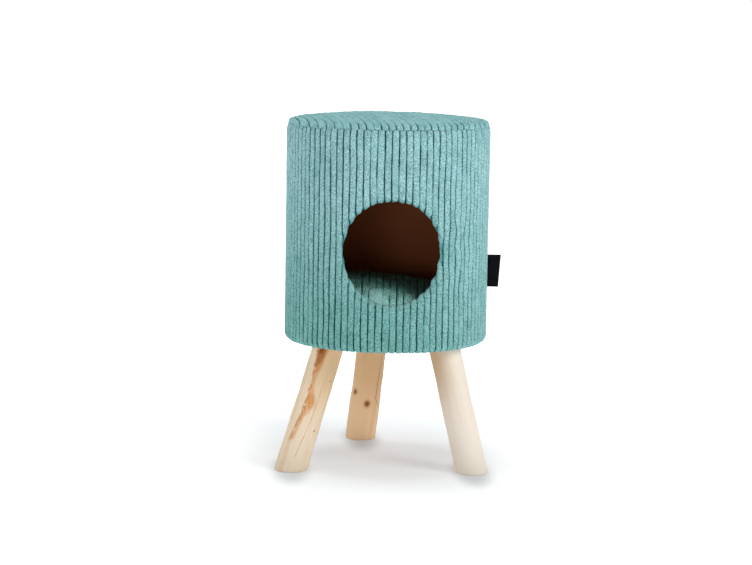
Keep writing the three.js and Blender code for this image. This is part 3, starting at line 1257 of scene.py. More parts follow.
@dataclass
class SidePanel:
    """The corduroy side: sewn into a tube, turned under the drum and turned in round the mouth.

    Attributes:
        drum: The drum that it covers.
        mouth: Its mouth.
        finish: Its finish.
        lip: Its edge at the mouth.
        wander: How its wales wander.
        hem: Inner radius of the turned-under hem.
        bend: Radius of the backing's bend at the bottom edge.
        backing: Thickness of the ground under the wales.
        draw: Length below the seam over which the panel is drawn in.
        seam_groove: Half width of the groove along the upright seam.
        seam_sharpness: How steeply that groove's sides fall.
        open_left: How much deeper the grooves are on the left, and how much shallower on the right.
        painted_shade_from: Height below which painted shade darkens the pile.
        painted_shade_less_right: How much less painted shade there is on the right.
        rows_below: Rows on the wall below the mouth's boundary.
        rows_above: Rows above it.
    """

    drum: Drum
    mouth: Mouth
    finish: CorduroyFinish
    lip: Lip = Lip()
    wander: Wander = Wander()
    hem: float = 134 * MM
    bend: float = 7 * MM
    backing: float = 3 * MM
    draw: float = 13 * MM
    seam_groove: float = 3.0 * MM
    seam_sharpness: float = 1.6
    open_left: float = 0.15
    painted_shade_from: float = 460 * MM
    painted_shade_less_right: float = 0.4
    rows_below: int = 30
    rows_above: int = 38

    def __post_init__(self) -> None:
        """Lays out the cloth and the grid on it."""
        self.cloth = Corduroy(self.drum.pitch, around=self.drum.round)
        grooves = self.drum.seam_arc + self.cloth.columns(0, self.drum.wales)
        half = self.drum.round / 2
        self.tube = HoledTube(self.mouth, self.lip.width, (grooves + half) % self.drum.round - half)
        self.ground = self.drum.radius - self.cloth.height

    def relief(self, arc: np.ndarray, height: np.ndarray) -> np.ndarray:
        """Wale relief on the panel, with a wider groove along the upright seam.

        Args:
            arc: Arc lengths.
            height: Heights, or lengths along the panel where it is turned under.

        Returns:
            Shares of the wale height.
        """
        across = arc - self.drum.seam_arc
        off_seam = np.abs((across + self.drum.round / 2) % self.drum.round - self.drum.round / 2)
        seam = 1 - np.clip(off_seam / self.seam_groove, 0, 1)
        depth = 1 - self.open_left * np.sin(arc / self.drum.radius)
        wales = 1 - depth * (1 - self.cloth.relief(across, height))
        return wales * (1 - seam**self.seam_sharpness)

    def lower_section(self) -> Values:
        """Rows of the panel from the hem's cut edge to where the wall begins.

        Returns:
            Radius and height of the backing, the wales' direction outwards and upwards, and their share.
        """
        level = self.drum.bottom + self.cloth.height
        middle = self.ground - self.bend
        under = np.linspace(self.hem, middle, 4)[:-1]
        turns = np.radians(np.linspace(-90, 0, 8))
        radius = np.concatenate([[self.hem], under, middle + self.bend * np.cos(turns)])
        flat = np.full(len(under), level)
        height = np.concatenate([[level + self.backing], flat, level + self.bend * (1 + np.sin(turns))])
        out = np.concatenate([[0], np.zeros(len(under)), np.cos(turns)])
        up = np.concatenate([[-1], -np.ones(len(under)), np.sin(turns)])
        share = np.concatenate([[0.0, 0.3, 0.6, 0.85], np.ones(len(turns))])
        return {"radius": radius, "height": height, "out": out, "up": up, "share": share}

    def upper_section(self) -> Values:
        """Rows of the panel from where the wall ends to its upper edge, which is tucked in under the seam.

        On the way up to the seam the panel is drawn in by the square of the share of the way.

        Returns:
            The same as for the lower section.
        """
        way = np.array([0.25, 0.5, 0.75, 1.0, 1.0, 0.98])
        tucked = np.array([0, 0, 0, 0.2, 1.8, 4.5]) * MM
        share = np.array([1.0, 1.0, 1.0, 1.0, 0.8, 0.3])
        radius = self.ground - self.drum.gather * way**2 - tucked
        height = self.drum.seam - self.draw + way * self.draw
        return {"radius": radius, "height": height, "out": 1 + 0 * way, "up": 0 * way, "share": share}

    def surface(self) -> Surface:
        """The panel with its mouth's edge.

        Returns:
            Its surface.
        """
        section = self.lower_section()
        start = section["height"][-1]
        end = self.drum.seam - self.draw
        steps = np.linspace(0, 1, self.rows_below + 1)[1:, None]
        low = self._rolled(section, start + steps * (self.tube.low - start), True)
        steps = np.linspace(0, 1, self.rows_above)[:, None]
        high = self._rolled(self.upper_section(), self.tube.high + steps * (end - self.tube.high), False)
        lower, upper, ring = self.tube.numbers(len(low["groove"]), len(high["groove"]))
        lip = self._turned_in()
        values = {}
        for key, rows in lip.items():
            flat = rows.reshape(-1, *rows.shape[2:])
            values[key] = np.concatenate([self.tube.gather(low[key], high[key]), flat])
        points = values.pop("points")
        rolled = np.arange(len(points))[-lip["groove"].size :].reshape(lip["groove"].shape)
        faces = [
            grid_quads(lower, wrap=True),
            grid_quads(upper, wrap=True),
            grid_quads(np.vstack([ring, rolled]), wrap=True),
        ]
        return Surface(points, faces, values)

    def _rolled(self, section: Values, wall: np.ndarray, below: bool) -> Values:
        """Points of a section and of the wall beside it, each raised from the backing by its wale.

        Args:
            section: Rows of the lower or the upper section.
            wall: Heights on the wall, rows by columns.
            below: Whether the section lies below the wall.

        Returns:
            Points, groove depths, tones and painted low shade, on rows from below.
        """
        ones = np.ones(len(wall))
        plain = {"radius": self.ground * ones, "out": ones, "up": 0 * ones, "share": ones}
        order = 1 if below else -1
        radius, out, up, share = (
            np.concatenate([section[key], rows][::order])[:, None] for key, rows in plain.items()
        )
        turned = np.repeat(section["height"][:, None], wall.shape[1], axis=1)
        height = np.concatenate([turned, wall][::order])
        arc = self.tube.columns
        along = height - (self.ground - radius)
        relief = self.relief(arc, along)
        raised = self.cloth.height * share * relief
        distance = radius - self.drum.slack(height) + out * raised
        wandered = arc + self.wander.at(arc, height, self.drum)
        points = self.drum.place(wandered, distance, height + up * raised)
        groove = np.clip(1 - relief * np.sqrt(share), 0, 1)
        across = np.broadcast_to(arc - self.drum.seam_arc, height.shape)
        tone = self.cloth.tone(across, along)
        return {"points": points, "groove": groove, "tone": tone, "painted_low_shade": self.painted_low_shade(arc, height)}

    def painted_low_shade(self, arc: np.ndarray, height: np.ndarray) -> np.ndarray:
        """Painted shade on the pile: none high on the drum, most at its bottom, less on the right.

        Args:
            arc: Arc lengths.
            height: Heights.

        Returns:
            0 where there is no painted shade to 1 where it is darkest.
        """
        lowness = smooth_step((self.painted_shade_from - height) / (self.painted_shade_from - self.drum.bottom))
        return lowness * (1 - self.painted_shade_less_right * smooth_step(np.sin(arc / self.drum.radius)))

    def _turned_in(self) -> Values:
        """The panel's edge, rolled into the mouth.

        Its wales rise outwards by the cosine of the bend, and towards the mouth's middle by its sine.

        Returns:
            Points, groove depths, tones with the roll's painted light and shade, and painted low shade, on
            rows round the mouth, from the panel inwards.
        """
        lip = self.lip
        run = lip.rows()
        bent = np.clip((run - lip.straight) / lip.roll, 0, np.pi / 2)
        behind = np.maximum(run - lip.straight - lip.quarter, 0)
        lateral = np.minimum(run, lip.straight) + lip.roll * np.sin(bent)
        depth = lip.roll * (1 - np.cos(bent)) + behind
        turn = self._along_wales(lip.width - run)
        cloth_arc, cloth_height = self.mouth.edge(turn, lip.width - run)
        relief = self._scalloped(turn, bent, cloth_arc, cloth_height)
        share = 1 - lip.sunk * smooth_step(behind / lip.inner)
        raised = (self.cloth.height * share * relief)[..., None]
        uneven = Waves(lip.seed, lip.lump, lip.lump).at(*self.mouth.edge(turn, lip.width))
        arc, height = self.mouth.edge(turn, lip.width - lateral + lip.uneven * uneven * np.sin(bent))
        arc = arc + self.wander.at(arc, height, self.drum)
        points = self.drum.place(arc, self.ground - self.drum.slack(height), height)
        back = vectors(0.0, depth, 0.0)
        facing = arc / self.drum.radius - np.pi / 2
        outwards = vectors(np.cos(facing), np.sin(facing), 0.0)
        inwards = vectors(-np.cos(turn), 0.0, -np.sin(turn))
        rising = np.cos(bent)[..., None] * outwards + np.sin(bent)[..., None] * inwards
        points = points + back + raised * rising
        # Painted light on the roll: lighter, with paler grooves, below the mouth, and painted shade above it.
        upright = np.sin(turn) * smooth_step(bent)
        groove = np.clip(1 - relief * np.sqrt(share), 0, 1) * (1 - lip.pale * np.maximum(-upright, 0))
        tone = self.cloth.tone(cloth_arc - self.drum.seam_arc, cloth_height) - lip.lit * upright
        return {"points": points, "groove": groove, "tone": tone, "painted_low_shade": self.painted_low_shade(arc, height)}

    def _scalloped(
        self, turn: np.ndarray, bent: np.ndarray, arc: np.ndarray, height: np.ndarray
    ) -> np.ndarray:
        """Wale relief on the rolled edge: softer at the mouth's sides, and round across each wale, as a sine.

        Args:
            turn: Turns round the mouth.
            bent: How far the cloth is bent, in radians.
            arc: Arc lengths on the flat cloth.
            height: Heights on the flat cloth.

        Returns:
            Shares of the wale height.
        """
        first, last = self.lip.sides
        sideways = smooth_step((np.abs(np.cos(turn)) - first) / (last - first)) * smooth_step(bent)
        relief = 1 - (1 - self.lip.soft * sideways) * (1 - self.relief(arc, height))
        crest = np.abs(np.sin(np.pi * (arc - self.drum.seam_arc) / self.cloth.pitch))
        return relief * (1 - self.lip.scallop * (1 - crest) * np.sin(bent))

    def _along_wales(self, outwards: np.ndarray) -> np.ndarray:
        """Turns of the rolled edge's columns, which follow the wales, and at the mouth's sides point inwards.

        Args:
            outwards: Distance of each row of cloth from the mouth's edge.

        Returns:
            Turns, rows by columns.
        """
        first = self.tube.ring_turns[None, :]
        cosine = np.cos(first)
        reach = self.mouth.radius + self.lip.width
        upper = np.arccos(np.clip(reach * cosine / (self.mouth.radius + outwards), -1, 1))
        along = np.where(first <= np.pi, upper, 2 * np.pi - upper)
        inwards, upright = self.lip.upright
        return first + smooth_step((inwards - np.abs(cosine)) / (inwards - upright)) * (along - first)

    def flat_size(self) -> tuple[tuple[float, float], float]:
        """Size of the cut panel and its area without the hole cut for the mouth.

        Returns:
            Width and length, and the flat area.
        """
        wall = self.drum.seam - self.drum.bottom - self.cloth.height - self.bend
        length = wall + self.bend * math.pi / 2 + (self.ground - self.bend - self.hem)
        turned_in = self.lip.straight + self.lip.quarter + self.lip.inner - self.lip.width
        hole = math.pi * (self.mouth.radius - turned_in) ** 2
        return (self.drum.round, length), self.drum.round * length - hole

    def build(self, wall: bpy.types.Object) -> bpy.types.Object:
        """Args:
            wall: The stiff wall that it is stretched over. It is not used.

        Returns:
            The piece.
        """
        made = self.surface().piece("side_panel", self.finish.material("side_corduroy"), Slot.CORDUROY)
        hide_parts("side_cover")
        flat, area = self.flat_size()
        return made


@dataclass(frozen=True)
class Filling:
    """Filling that pushes a pad's cover out: a short cloth simulation with pressure and no weight.

    Attributes:
        pressure: Pressure inside the cover.
        cap: The furthest that a point may move.
        held: Number of rings at the underside that stay where they are.
        rings: Rings of the simulated cover after its middle.
        spokes: Points of each ring.
        frames: Steps of the simulation.
    """

    pressure: float
    cap: float
    held: int = 3
    rings: int = 48
    spokes: int = 144
    frames: int = 20

    def moves(self, rest: np.ndarray) -> np.ndarray:
        """How far the pressure moves a cover, which is shut underneath for it.

        A move of length m is shortened to the cap times the hyperbolic tangent of m over the cap.

        Args:
            rest: Points at rest, ring by ring. Those of the first ring all lie at the middle.

        Returns:
            Moves, in the shape of the points.
        """
        ids = 1 + np.arange(self.rings * self.spokes).reshape(self.rings, self.spokes)
        under = int(ids[-1, -1]) + 1
        closing = rest[-1].mean(axis=0, keepdims=True)
        points = np.concatenate([rest[0, :1], rest[1:].reshape(-1, 3), closing])
        faces = [fan(0, ids[0]), grid_quads(ids, wrap=True)[:, ::-1], fan(under, ids[-1][::-1])]
        mesh = Surface(points, faces).mesh("cover")
        cover = placed("cover", mesh)
        scene = bpy.context.scene
        still = [*ids[-self.held :].ravel().tolist(), under]
        cover.vertex_groups.new(name="held").add(still, 1.0, "REPLACE")
        cloth = cover.modifiers.new("cloth", "CLOTH").settings
        cloth.vertex_group_mass = "held"
        cloth.use_pressure = True
        cloth.uniform_pressure_force = self.pressure
        cloth.effector_weights.gravity = 0
        for frame in range(1, self.frames + 1):
            scene.frame_set(frame)
        places = np.empty(points.size, np.float32)
        swollen = cover.evaluated_get(bpy.context.evaluated_depsgraph_get())
        swollen.data.vertices.foreach_get("co", places)
        move = places.reshape(-1, 3)[:-1] - points[:-1]
        scene.frame_set(1)
        bpy.data.objects.remove(cover)
        bpy.data.meshes.remove(mesh)
        far = np.maximum(np.linalg.norm(move, axis=1, keepdims=True), 1e-9)
        usual, most = far.mean() / MM, far.max() / MM
        log.info("filling: moves of %.1f mm on average, %.1f mm at most", usual, most)
        move = move * self.cap * np.tanh(far / self.cap) / far
        middle = np.repeat(move[None, :1], self.spokes, axis=1)
        return np.concatenate([middle, move[1:].reshape(self.rings, self.spokes, 3)])


@dataclass
class RoundPad:
    """A round corduroy pad with straight wales: a flat disc of cloth laid over a turned profile.

    A place on the cloth lies as far along the profile as it is from its middle, in the same direction.

    Attributes:
        axis: Where its middle is.
        profile: Radius and height of the backing, from the top's middle to the underside's rim.
        cloth: Its corduroy.
        turn: Turn of the wales from front and back.
        filling: What fills it.
        fade: Length before the profile's end over which the wales flatten.
        rows: Number of rows along each wale.
        swell: Lumps of the filling, as a spread in height.
        lump: Usual size of a lump.
        lean: Rise of the top for each unit towards -X.
        pressed: How much flatter the wales are on the top than at its rounded edge.
        pressed_within: How far in from the widest place they are pressed most.
        pressed_fade: Distance over which that fades towards the edge.
        painted_front_light: Painted light: how much lighter the pile is at the front than further back.
        painted_light_slant: How much further back the painted light reaches for each unit towards -X.
        painted_light_width: Depth over which it goes from painted light to painted shade.
        painted_light_inset: How far in front of the pad the painted light would be strongest.
        edge: Columns of the mesh nearer than this to the cloth's edge are left out.
    """

    axis: np.ndarray
    profile: np.ndarray
    cloth: Corduroy
    turn: float
    filling: Filling
    fade: float
    rows: int
    swell: float
    lump: float = 75 * MM
    lean: float = 0.0
    pressed: float = 0.0
    pressed_within: float = 24 * MM
    pressed_fade: float = 16 * MM
    painted_front_light: float = 0.0
    painted_light_slant: float = 0.34
    painted_light_width: float = 80 * MM
    painted_light_inset: float = 15 * MM
    edge: float = 0.8 * MM

    @property
    def run(self) -> np.ndarray:
        """Lengths along the profile at its points."""
        return np.concatenate([[0], np.cumsum(np.hypot(*np.diff(self.profile, axis=0).T))])

    def surface(self) -> Surface:
        """The closed pad.

        Returns:
            Its surface.
        """
        reach = self.run[-1]
        wales = int(reach / self.cloth.pitch) + 1
        across = self.cloth.columns(-wales, wales) + self.cloth.pitch / 2
        across = across[np.abs(across) < reach - self.edge]
        even = np.linspace(-1, 1, self.rows)
        spread = 0.5 * even + 0.5 * np.sin(np.pi / 2 * even)
        ends = np.sqrt(reach**2 - across**2)
        x = np.concatenate([np.repeat(across, self.rows), [-reach, reach]])
        y = np.concatenate([np.outer(ends, spread).ravel(), [0, 0]])
        relief = self.cloth.relief(x + self.cloth.pitch / 2, y)
        tone = self.cloth.tone(x + self.cloth.pitch / 2, y)
        flat = np.minimum(np.hypot(x, y), reach)
        direction = np.arctan2(y, x) + self.turn
        out = np.interp(flat, self.run, self.profile[:, 0]) - self.profile[:, 0].max()
        taut = 1 - self.pressed * (1 - smooth_step((out + self.pressed_within) / self.pressed_fade))
        sewn = smooth_step((reach - flat) / self.fade)
        height = 1 - taut * (1 - relief)
        points = self._laid(flat, direction, height * sewn) + self._swollen(flat, direction)
        # Painted light at the front of the pad, with a slanted edge that stands in for the shadow of the
        # mouth's rim.
        right, front = ((points[:, :2] - self.axis) * [1, -1]).T
        lit = front - self.painted_light_slant * right - self.profile[:, 0].max() - self.painted_light_inset
        tone = tone + self.painted_front_light * (smooth_step(1 + lit / self.painted_light_width) - 0.5)
        ids = np.arange(len(across) * self.rows).reshape(len(across), self.rows)
        first_end, last_end = ids.size, ids.size + 1
        shut = ids[:, [-1, 0]]
        faces = [
            grid_quads(ids.T),
            grid_quads(shut.T),
            fan(first_end, ids[0][::-1]),
            fan(last_end, ids[-1]),
        ]
        groove = np.clip(1 - height * sewn**0.3, 0, 1)
        return Surface(points, faces, {"groove": groove, "tone": tone})

    def _swollen(self, flat: np.ndarray, direction: np.ndarray) -> np.ndarray:
        """Moves that the filling gives places on the cloth, blended between the points of its own cover.

        Args:
            flat: Distances from the middle.
            direction: Directions from the middle.

        Returns:
            Moves.
        """
        fill = self.filling
        rings = np.linspace(0, self.run[-1], fill.rings + 1)
        spokes = np.linspace(0, 2 * np.pi, fill.spokes, endpoint=False)
        moves = fill.moves(self._laid(*np.meshgrid(rings, spokes, indexing="ij"), 0.0))
        moves = np.concatenate([moves, moves[:, :1]], axis=1)
        ring = flat / self.run[-1] * fill.rings
        spoke = direction / (2 * np.pi) % 1 * fill.spokes
        i = np.minimum(ring.astype(int), fill.rings - 1)
        j = np.minimum(spoke.astype(int), fill.spokes - 1)
        past_i, past_j = (ring - i)[:, None], (spoke - j)[:, None]
        inner = (1 - past_j) * moves[i, j] + past_j * moves[i, j + 1]
        outer = (1 - past_j) * moves[i + 1, j] + past_j * moves[i + 1, j + 1]
        return (1 - past_i) * inner + past_i * outer

    def _laid(self, flat: np.ndarray, direction: np.ndarray, raised: np.ndarray | float) -> np.ndarray:
        """Places on the flat cloth laid over the profile, each raised along the profile's normal.

        Args:
            flat: Distances from the middle.
            direction: Directions from the middle.
            raised: Shares of the wale height.

        Returns:
            Points.
        """
        run = self.run
        slope = np.gradient(self.profile, run, axis=0)
        slope /= np.linalg.norm(slope, axis=1, keepdims=True)
        columns = (*self.profile.T, *slope.T)
        radius, height, along_r, along_z = (np.interp(flat, run, column) for column in columns)
        lift = self.cloth.height * raised
        radius = radius - along_z * lift
        height = height + along_r * lift
        ground = self.profile[:, 1].min()
        share = (height - ground) / (self.profile[:, 1].max() - ground)
        px = radius * np.cos(direction)
        py = radius * np.sin(direction)
        lumps = Waves(self.cloth.seed + 5, self.lump, self.lump).at(px, py)
        height = height + share * (self.swell * lumps - self.lean * px)
        return vectors(self.axis[0] + px, self.axis[1] + py, height)


def bowed(
    start: Sequence[float], control: Sequence[float], end: Sequence[float], count: int = 24
) -> np.ndarray:
    """Points on a curve: (1 - t) squared of the start, 2 t (1 - t) of the control, t squared of the end.

    Args:
        start: First point.
        control: Point that the curve is drawn towards.
        end: Last point.
        count: Number of points after the first.

    Returns:
        Points without the first.
    """
    t = np.linspace(0, 1, count + 1)[1:, None]
    return (1 - t) ** 2 * np.array(start) + 2 * t * (1 - t) * np.array(control) + t**2 * np.array(end)


@dataclass
class TopPanel:
    """The padded round top, drawn over the rim and sewn to the side.

    Attributes:
        drum: The drum under it.
        finish: Its finish.
        crown: Rise of its middle over its rim.
        turn: Turn of its wales, in degrees.
        bend: Width of its rounded edge.
        tuck: How far the sewing draws its edge in.
        pressed: How much flatter its wales lie on the top than at its edge.
        filling: Its thin padding.
    """

    drum: Drum
    finish: CorduroyFinish
    crown: float = 5 * MM
    turn: float = 7.0
    bend: float = 12 * MM
    tuck: float = 2.6 * MM
    pressed: float = 0.64
    filling: Filling = Filling(pressure=1.0, cap=1.0 * MM)

    def build(self) -> bpy.types.Object:
        """Returns:
            The piece.
        """
        cloth = Corduroy(self.drum.pitch, seed=21)
        low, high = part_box("top_pad")
        rim = self.drum.radius - cloth.height - self.drum.gather
        flat = high.z - self.crown - cloth.height
        edge = low.z
        drop = flat - edge - 1.0 * MM
        turns = np.radians(np.linspace(90, 0, 14))[1:, None]
        start = np.array([[0.0, flat + self.crown]])
        dome = bowed(start[0], (0.6 * rim, flat + self.crown), (rim - self.bend, flat))
        quarter = np.concatenate([self.bend * np.cos(turns), drop * np.sin(turns)], axis=1)
        around = np.array([rim - self.bend, flat - drop]) + quarter
        sewn = bowed(around[-1], (rim, edge), (rim - self.tuck, edge), 8)
        profile = np.concatenate([start, dome, around, sewn])
        turn = math.radians(self.turn)
        cover = (self.drum.axis, profile, cloth, turn, self.filling)
        pad = RoundPad(*cover, fade=2.2 * MM, rows=96, swell=0.35 * MM, pressed=self.pressed)
        finish = replace(self.finish, turn=turn)
        made = pad.surface().piece("top_panel", finish.material("top_corduroy"), Slot.CORDUROY)
        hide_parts("top_pad")
        return made


@dataclass
class Cushion:
    """The loose cushion on the drum's floor: crowned, full at its sides, its filling a little shifted.

    Attributes:
        drum: The drum that it lies in.
        finish: Its finish.
        thickness: Of its middle, to the crests of the wales.
        crown: Rise of its middle.
        shoulder: Size of its rounded shoulders.
        turn: Turn of its wales, in degrees.
        lean: Rise of its top for each unit towards -X.
        painted_front_light: Painted light: how much lighter its pile is at its front edge than further back.
        filling: Its filling.
    """

    drum: Drum
    finish: CorduroyFinish
    thickness: float = 73 * MM
    crown: float = 10 * MM
    shoulder: float = 21 * MM
    turn: float = -3.3
    lean: float = 0.088
    painted_front_light: float = 18.0
    filling: Filling = Filling(pressure=4.0, cap=5 * MM)

    def build(self) -> bpy.types.Object:
        """Returns:
            The piece.
        """
        cloth = Corduroy(self.drum.pitch, depth=0.55, uneven=0.3, seed=41)
        low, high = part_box("cushion")
        side = (high.y - low.y) / 2 - cloth.height
        top = low.z + self.thickness - cloth.height - self.crown
        soft = self.shoulder
        start = np.array([[0.0, top + self.crown]])
        dome = bowed(start[0], (0.5 * side, top + self.crown), (side - soft, top))
        upper = bowed(dome[-1], (side, top - 0.2 * soft), (side, top - soft))
        lower = bowed(upper[-1], (side, low.z + 2 * MM), (side - soft, low.z))
        profile = np.concatenate([start, dome, upper, lower])
        turn = math.radians(self.turn)
        cover = (self.drum.axis, profile, cloth, turn, self.filling)
        pad = RoundPad(*cover, fade=25 * MM, rows=110, swell=1.0 * MM, lean=self.lean, painted_front_light=self.painted_front_light)
        finish = replace(self.finish, turn=turn)
        made = pad.surface().piece("cushion_cover", finish.material("cushion_corduroy"), Slot.CORDUROY)
        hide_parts("cushion")
        return made


@dataclass
class InnerDrum:
    """The stiff dark-brown drum inside the cover: a wall with the mouth cut through it, and two boards.

    Attributes:
        drum: The drum's main sizes.
        mouth: The mouth.
        finish: Its finish.
        outwards: How far outside the mouth's edge the wall is cut.
        thickness: Thickness of the wall.
        sides: Number of columns round it.
        rows: Rows below the mouth's boundary, and above it.
    """

    drum: Drum
    mouth: Mouth
    finish: BoardFinish
    outwards: float = 6.8 * MM
    thickness: float = 6 * MM
    sides: int = 180
    rows: int = 14

    def wall(self) -> Surface:
        """The wall: an inner and an outer tube, joined at the top, the bottom and round the mouth.

        Returns:
            Its surface.
        """
        low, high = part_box("drum_wall")
        outside = (high.x - low.x) / 2
        half = self.drum.round / 2
        tube = HoledTube(self.mouth, self.outwards, np.linspace(-half, half, self.sides, endpoint=False))
        steps = np.linspace(0, 1, self.rows)[:, None]
        below = low.z + steps * (tube.low - low.z)
        above = tube.high + steps * (high.z - tube.high)
        layers = []
        for radius in (outside, outside - self.thickness):
            arcs = self.drum.straight_back(tube.columns, outside, radius)
            parts = [self.drum.place(arcs, radius, height) for height in (below, above)]
            layers.append(tube.gather(*parts))
        lower, upper, ring = tube.numbers(self.rows, self.rows)
        back = len(layers[0])
        faces = [
            grid_quads(lower, wrap=True),
            grid_quads(upper, wrap=True),
            grid_quads(back + lower, wrap=True)[:, ::-1],
            grid_quads(back + upper, wrap=True)[:, ::-1],
            grid_quads(np.stack([upper[-1], back + upper[-1]]), wrap=True),
            grid_quads(np.stack([back + lower[0], lower[0]]), wrap=True),
            grid_quads(np.stack([ring, back + ring]), wrap=True),
        ]
        return Surface(np.concatenate(layers), faces)

    def build(self, nodes: Mapping[str, bpy.types.Object]) -> bpy.types.Object:
        """Makes the wall and finishes the boards.

        Args:
            nodes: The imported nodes.

        Returns:
            The wall.
        """
        material = self.finish.material("brown_fibreboard")
        made = self.wall().piece("inner_wall", material, Slot.BOARD)
        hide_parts("drum_wall")
        for name in ("top_board", "base_board"):
            nodes[name].data.materials.clear()
            nodes[name].data.materials.append(material)
            log.info("%s: kept, with a new finish", name)
        return made


@dataclass
class SideLabel:
    """A black ribbon folded double and sewn into the upright seam. It is bare.

    Attributes:
        drum: The drum that it is sewn to.
        finish: Its finish.
        ply: Thickness of the ribbon.
        slit: Gap between its two plies.
        skew: How much further its top reaches than its bottom.
        curl: How far its free fold leans forwards.
        loose: How far its upper corner is pulled out of the seam.
        bulge: How far it bulges backwards at half its height.
        sewn: How deep its root lies in the panel.
        crease: Degrees from which an edge is drawn sharp.
        rows: Number of rows up it.
        across: Number of points along each ply.
    """

    drum: Drum
    finish: RibbonFinish
    ply: float = 0.7 * MM
    slit: float = 0.7 * MM
    skew: float = 3.4 * MM
    curl: float = 1.2 * MM
    loose: float = 1.6 * MM
    bulge: float = 0.5 * MM
    sewn: float = 2 * MM
    crease: float = 50.0
    rows: int = 24
    across: int = 18

    def section(self, reach: float) -> tuple[np.ndarray, np.ndarray]:
        """Closed outline of the folded ribbon, seen from above: a long U.

        Args:
            reach: From its root to its fold.

        Returns:
            Distances out of the seam, and sideways.
        """
        wide = self.slit / 2 + self.ply
        plies = [self._side(reach - wide, half) for half in (wide, -self.slit / 2)]
        out, aside = (np.concatenate(values) for values in zip(*plies))
        return out, aside

    def _side(self, bend: float, half: float) -> tuple[np.ndarray, np.ndarray]:
        """One side of the folded ribbon: out, round the fold and back.

        Args:
            bend: From the root to the middle of the fold.
            half: From the middle of the slit to this side, negative on the inside.

        Returns:
            Distances out of the seam, and sideways.
        """
        out = np.linspace(0, bend, self.across)
        turns = np.linspace(-np.pi / 2, np.pi / 2, 9)[1:-1]
        x = np.concatenate([out, bend + abs(half) * np.cos(turns), out[::-1]])
        y = np.concatenate([0 * out - half, half * np.sin(turns), 0 * out + half])
        return x, y

    def build(self, panel: bpy.types.Object) -> bpy.types.Object:
        """Args:
            panel: The panel that it is sewn into. It is not used.

        Returns:
            The piece.
        """
        low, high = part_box("side_label")
        root = self.drum.radius - self.sewn
        reach = high.x + self.loose - self.drum.axis[0] - root
        x, y = self.section(reach)
        share = np.linspace(0, 1, self.rows)[:, None]
        out = x / reach
        height = low.z + share * (high.z - low.z)
        far = root + x * (1 - self.skew * (1 - share) / reach)
        side = y - self.curl * out**2 * (1.2 - share) + self.bulge * np.sin(np.pi * share) * out
        turn = self.drum.seam_turn
        px = self.drum.axis[0] + far * math.cos(turn) - side * math.sin(turn)
        py = self.drum.axis[1] + far * math.sin(turn) + side * math.cos(turn)
        points = vectors(px, py, height).reshape(-1, 3)
        ids = np.arange(len(points)).reshape(self.rows, -1)
        count = ids.shape[1] // 2
        ends = [
            grid_quads(np.stack([ids[0][:count], ids[0][count:][::-1]])),
            grid_quads(np.stack([ids[-1][count:][::-1], ids[-1][:count]])),
        ]
        faces = [grid_quads(ids, wrap=True), *ends]
        material = self.finish.material("black_woven_ribbon")
        made = Surface(points, faces).piece("label_ribbon", material, Slot.RIBBON)
        edges = made.modifiers.new("edges", "EDGE_SPLIT")
        edges.split_angle = math.radians(self.crease)
        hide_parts("side_label")
        2 * reach
        return made


@dataclass
class Leg:
    """One round pole, splayed, with its ends cut level.

    Attributes:
        node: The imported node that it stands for.
        foot: Middle of its sole.
        top: Middle of its seat under the base.
        finish: Its finish, which knows its radius.
        face: Turn of its side that shows the marks, in degrees from the splay.
        seed: Seed of its slight waves.
        bevel: Height and depth of the rounded edge at its sole.
        girth: Its girth at the sole, as a share of a plain pole's.
        taper: How much of that it loses up to its seat.
        wave: Spread of its slight waves.
        wave_length: Their usual length up the pole.
        waves_round: Their usual number round it.
        sides: Number of columns round it.
        rows: Number of rows up it.
    """

    node: str
    foot: np.ndarray
    top: np.ndarray
    finish: WoodFinish
    face: float
    seed: int
    bevel: tuple[float, float] = (2.2 * MM, 1.8 * MM)
    girth: float = 1.012
    taper: float = 0.022
    wave: float = 0.22 * MM
    wave_length: float = 70 * MM
    waves_round: float = 1.5
    sides: int = 96
    rows: int = 60

    def build(self) -> bpy.types.Object:
        """Makes the piece.

        Returns:
            The piece.
        """
        low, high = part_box(self.node)
        length = high.z - low.z
        edge = np.array([0.0, 0.15, 0.5, 1.0]) * self.bevel[0]
        inset = np.array([1.0, 0.55, 0.16, 0.0]) * self.bevel[1]
        body = np.linspace(edge[-1], length, self.rows)[1:]
        height = np.concatenate([edge, body])[:, None]
        bevel = np.concatenate([inset, np.zeros(len(body))])[:, None]
        turn = np.linspace(0, 2 * np.pi, self.sides, endpoint=False)
        splay = self.foot - self.top
        along = splay / np.linalg.norm(splay)
        stretch = math.hypot(np.linalg.norm(splay), length) / length
        share = height / length
        waves = Waves(self.seed, 2 * np.pi / self.waves_round, self.wave_length, 2 * np.pi, 16)
        wavy = waves.at(turn + 0 * height, height + 0 * turn)
        girth = self.finish.radius * (self.girth - self.taper * share) - bevel + self.wave * wavy
        reach = girth * stretch * np.cos(turn)
        width = girth * np.sin(turn)
        middle = self.foot + share[..., None] * (self.top - self.foot)
        x = middle[..., 0] + along[0] * reach - along[1] * width
        y = middle[..., 1] + along[1] * reach + along[0] * width
        rim = vectors(x, y, low.z + height)
        seen = turn - math.radians(self.face)
        pole = vectors(girth * np.cos(seen), girth * np.sin(seen), height)
        caps = np.array([[*self.foot, low.z], [*self.top, high.z]])
        points = np.concatenate([rim.reshape(-1, 3), caps])
        places = np.concatenate([pole.reshape(-1, 3), [[0, 0, 0], [0, 0, length]]])
        ids = np.arange(rim[..., 0].size).reshape(len(height), self.sides)
        faces = [grid_quads(ids, wrap=True), fan(ids.size, ids[0][::-1]), fan(ids.size + 1, ids[-1])]
        name = self.node.replace("leg_", "pole_")
        material = self.finish.material(f"pine_{name}")
        made = Surface(points, faces, {"pole": places}).piece(name, material, Slot.WOOD)
        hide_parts(self.node)
        return made


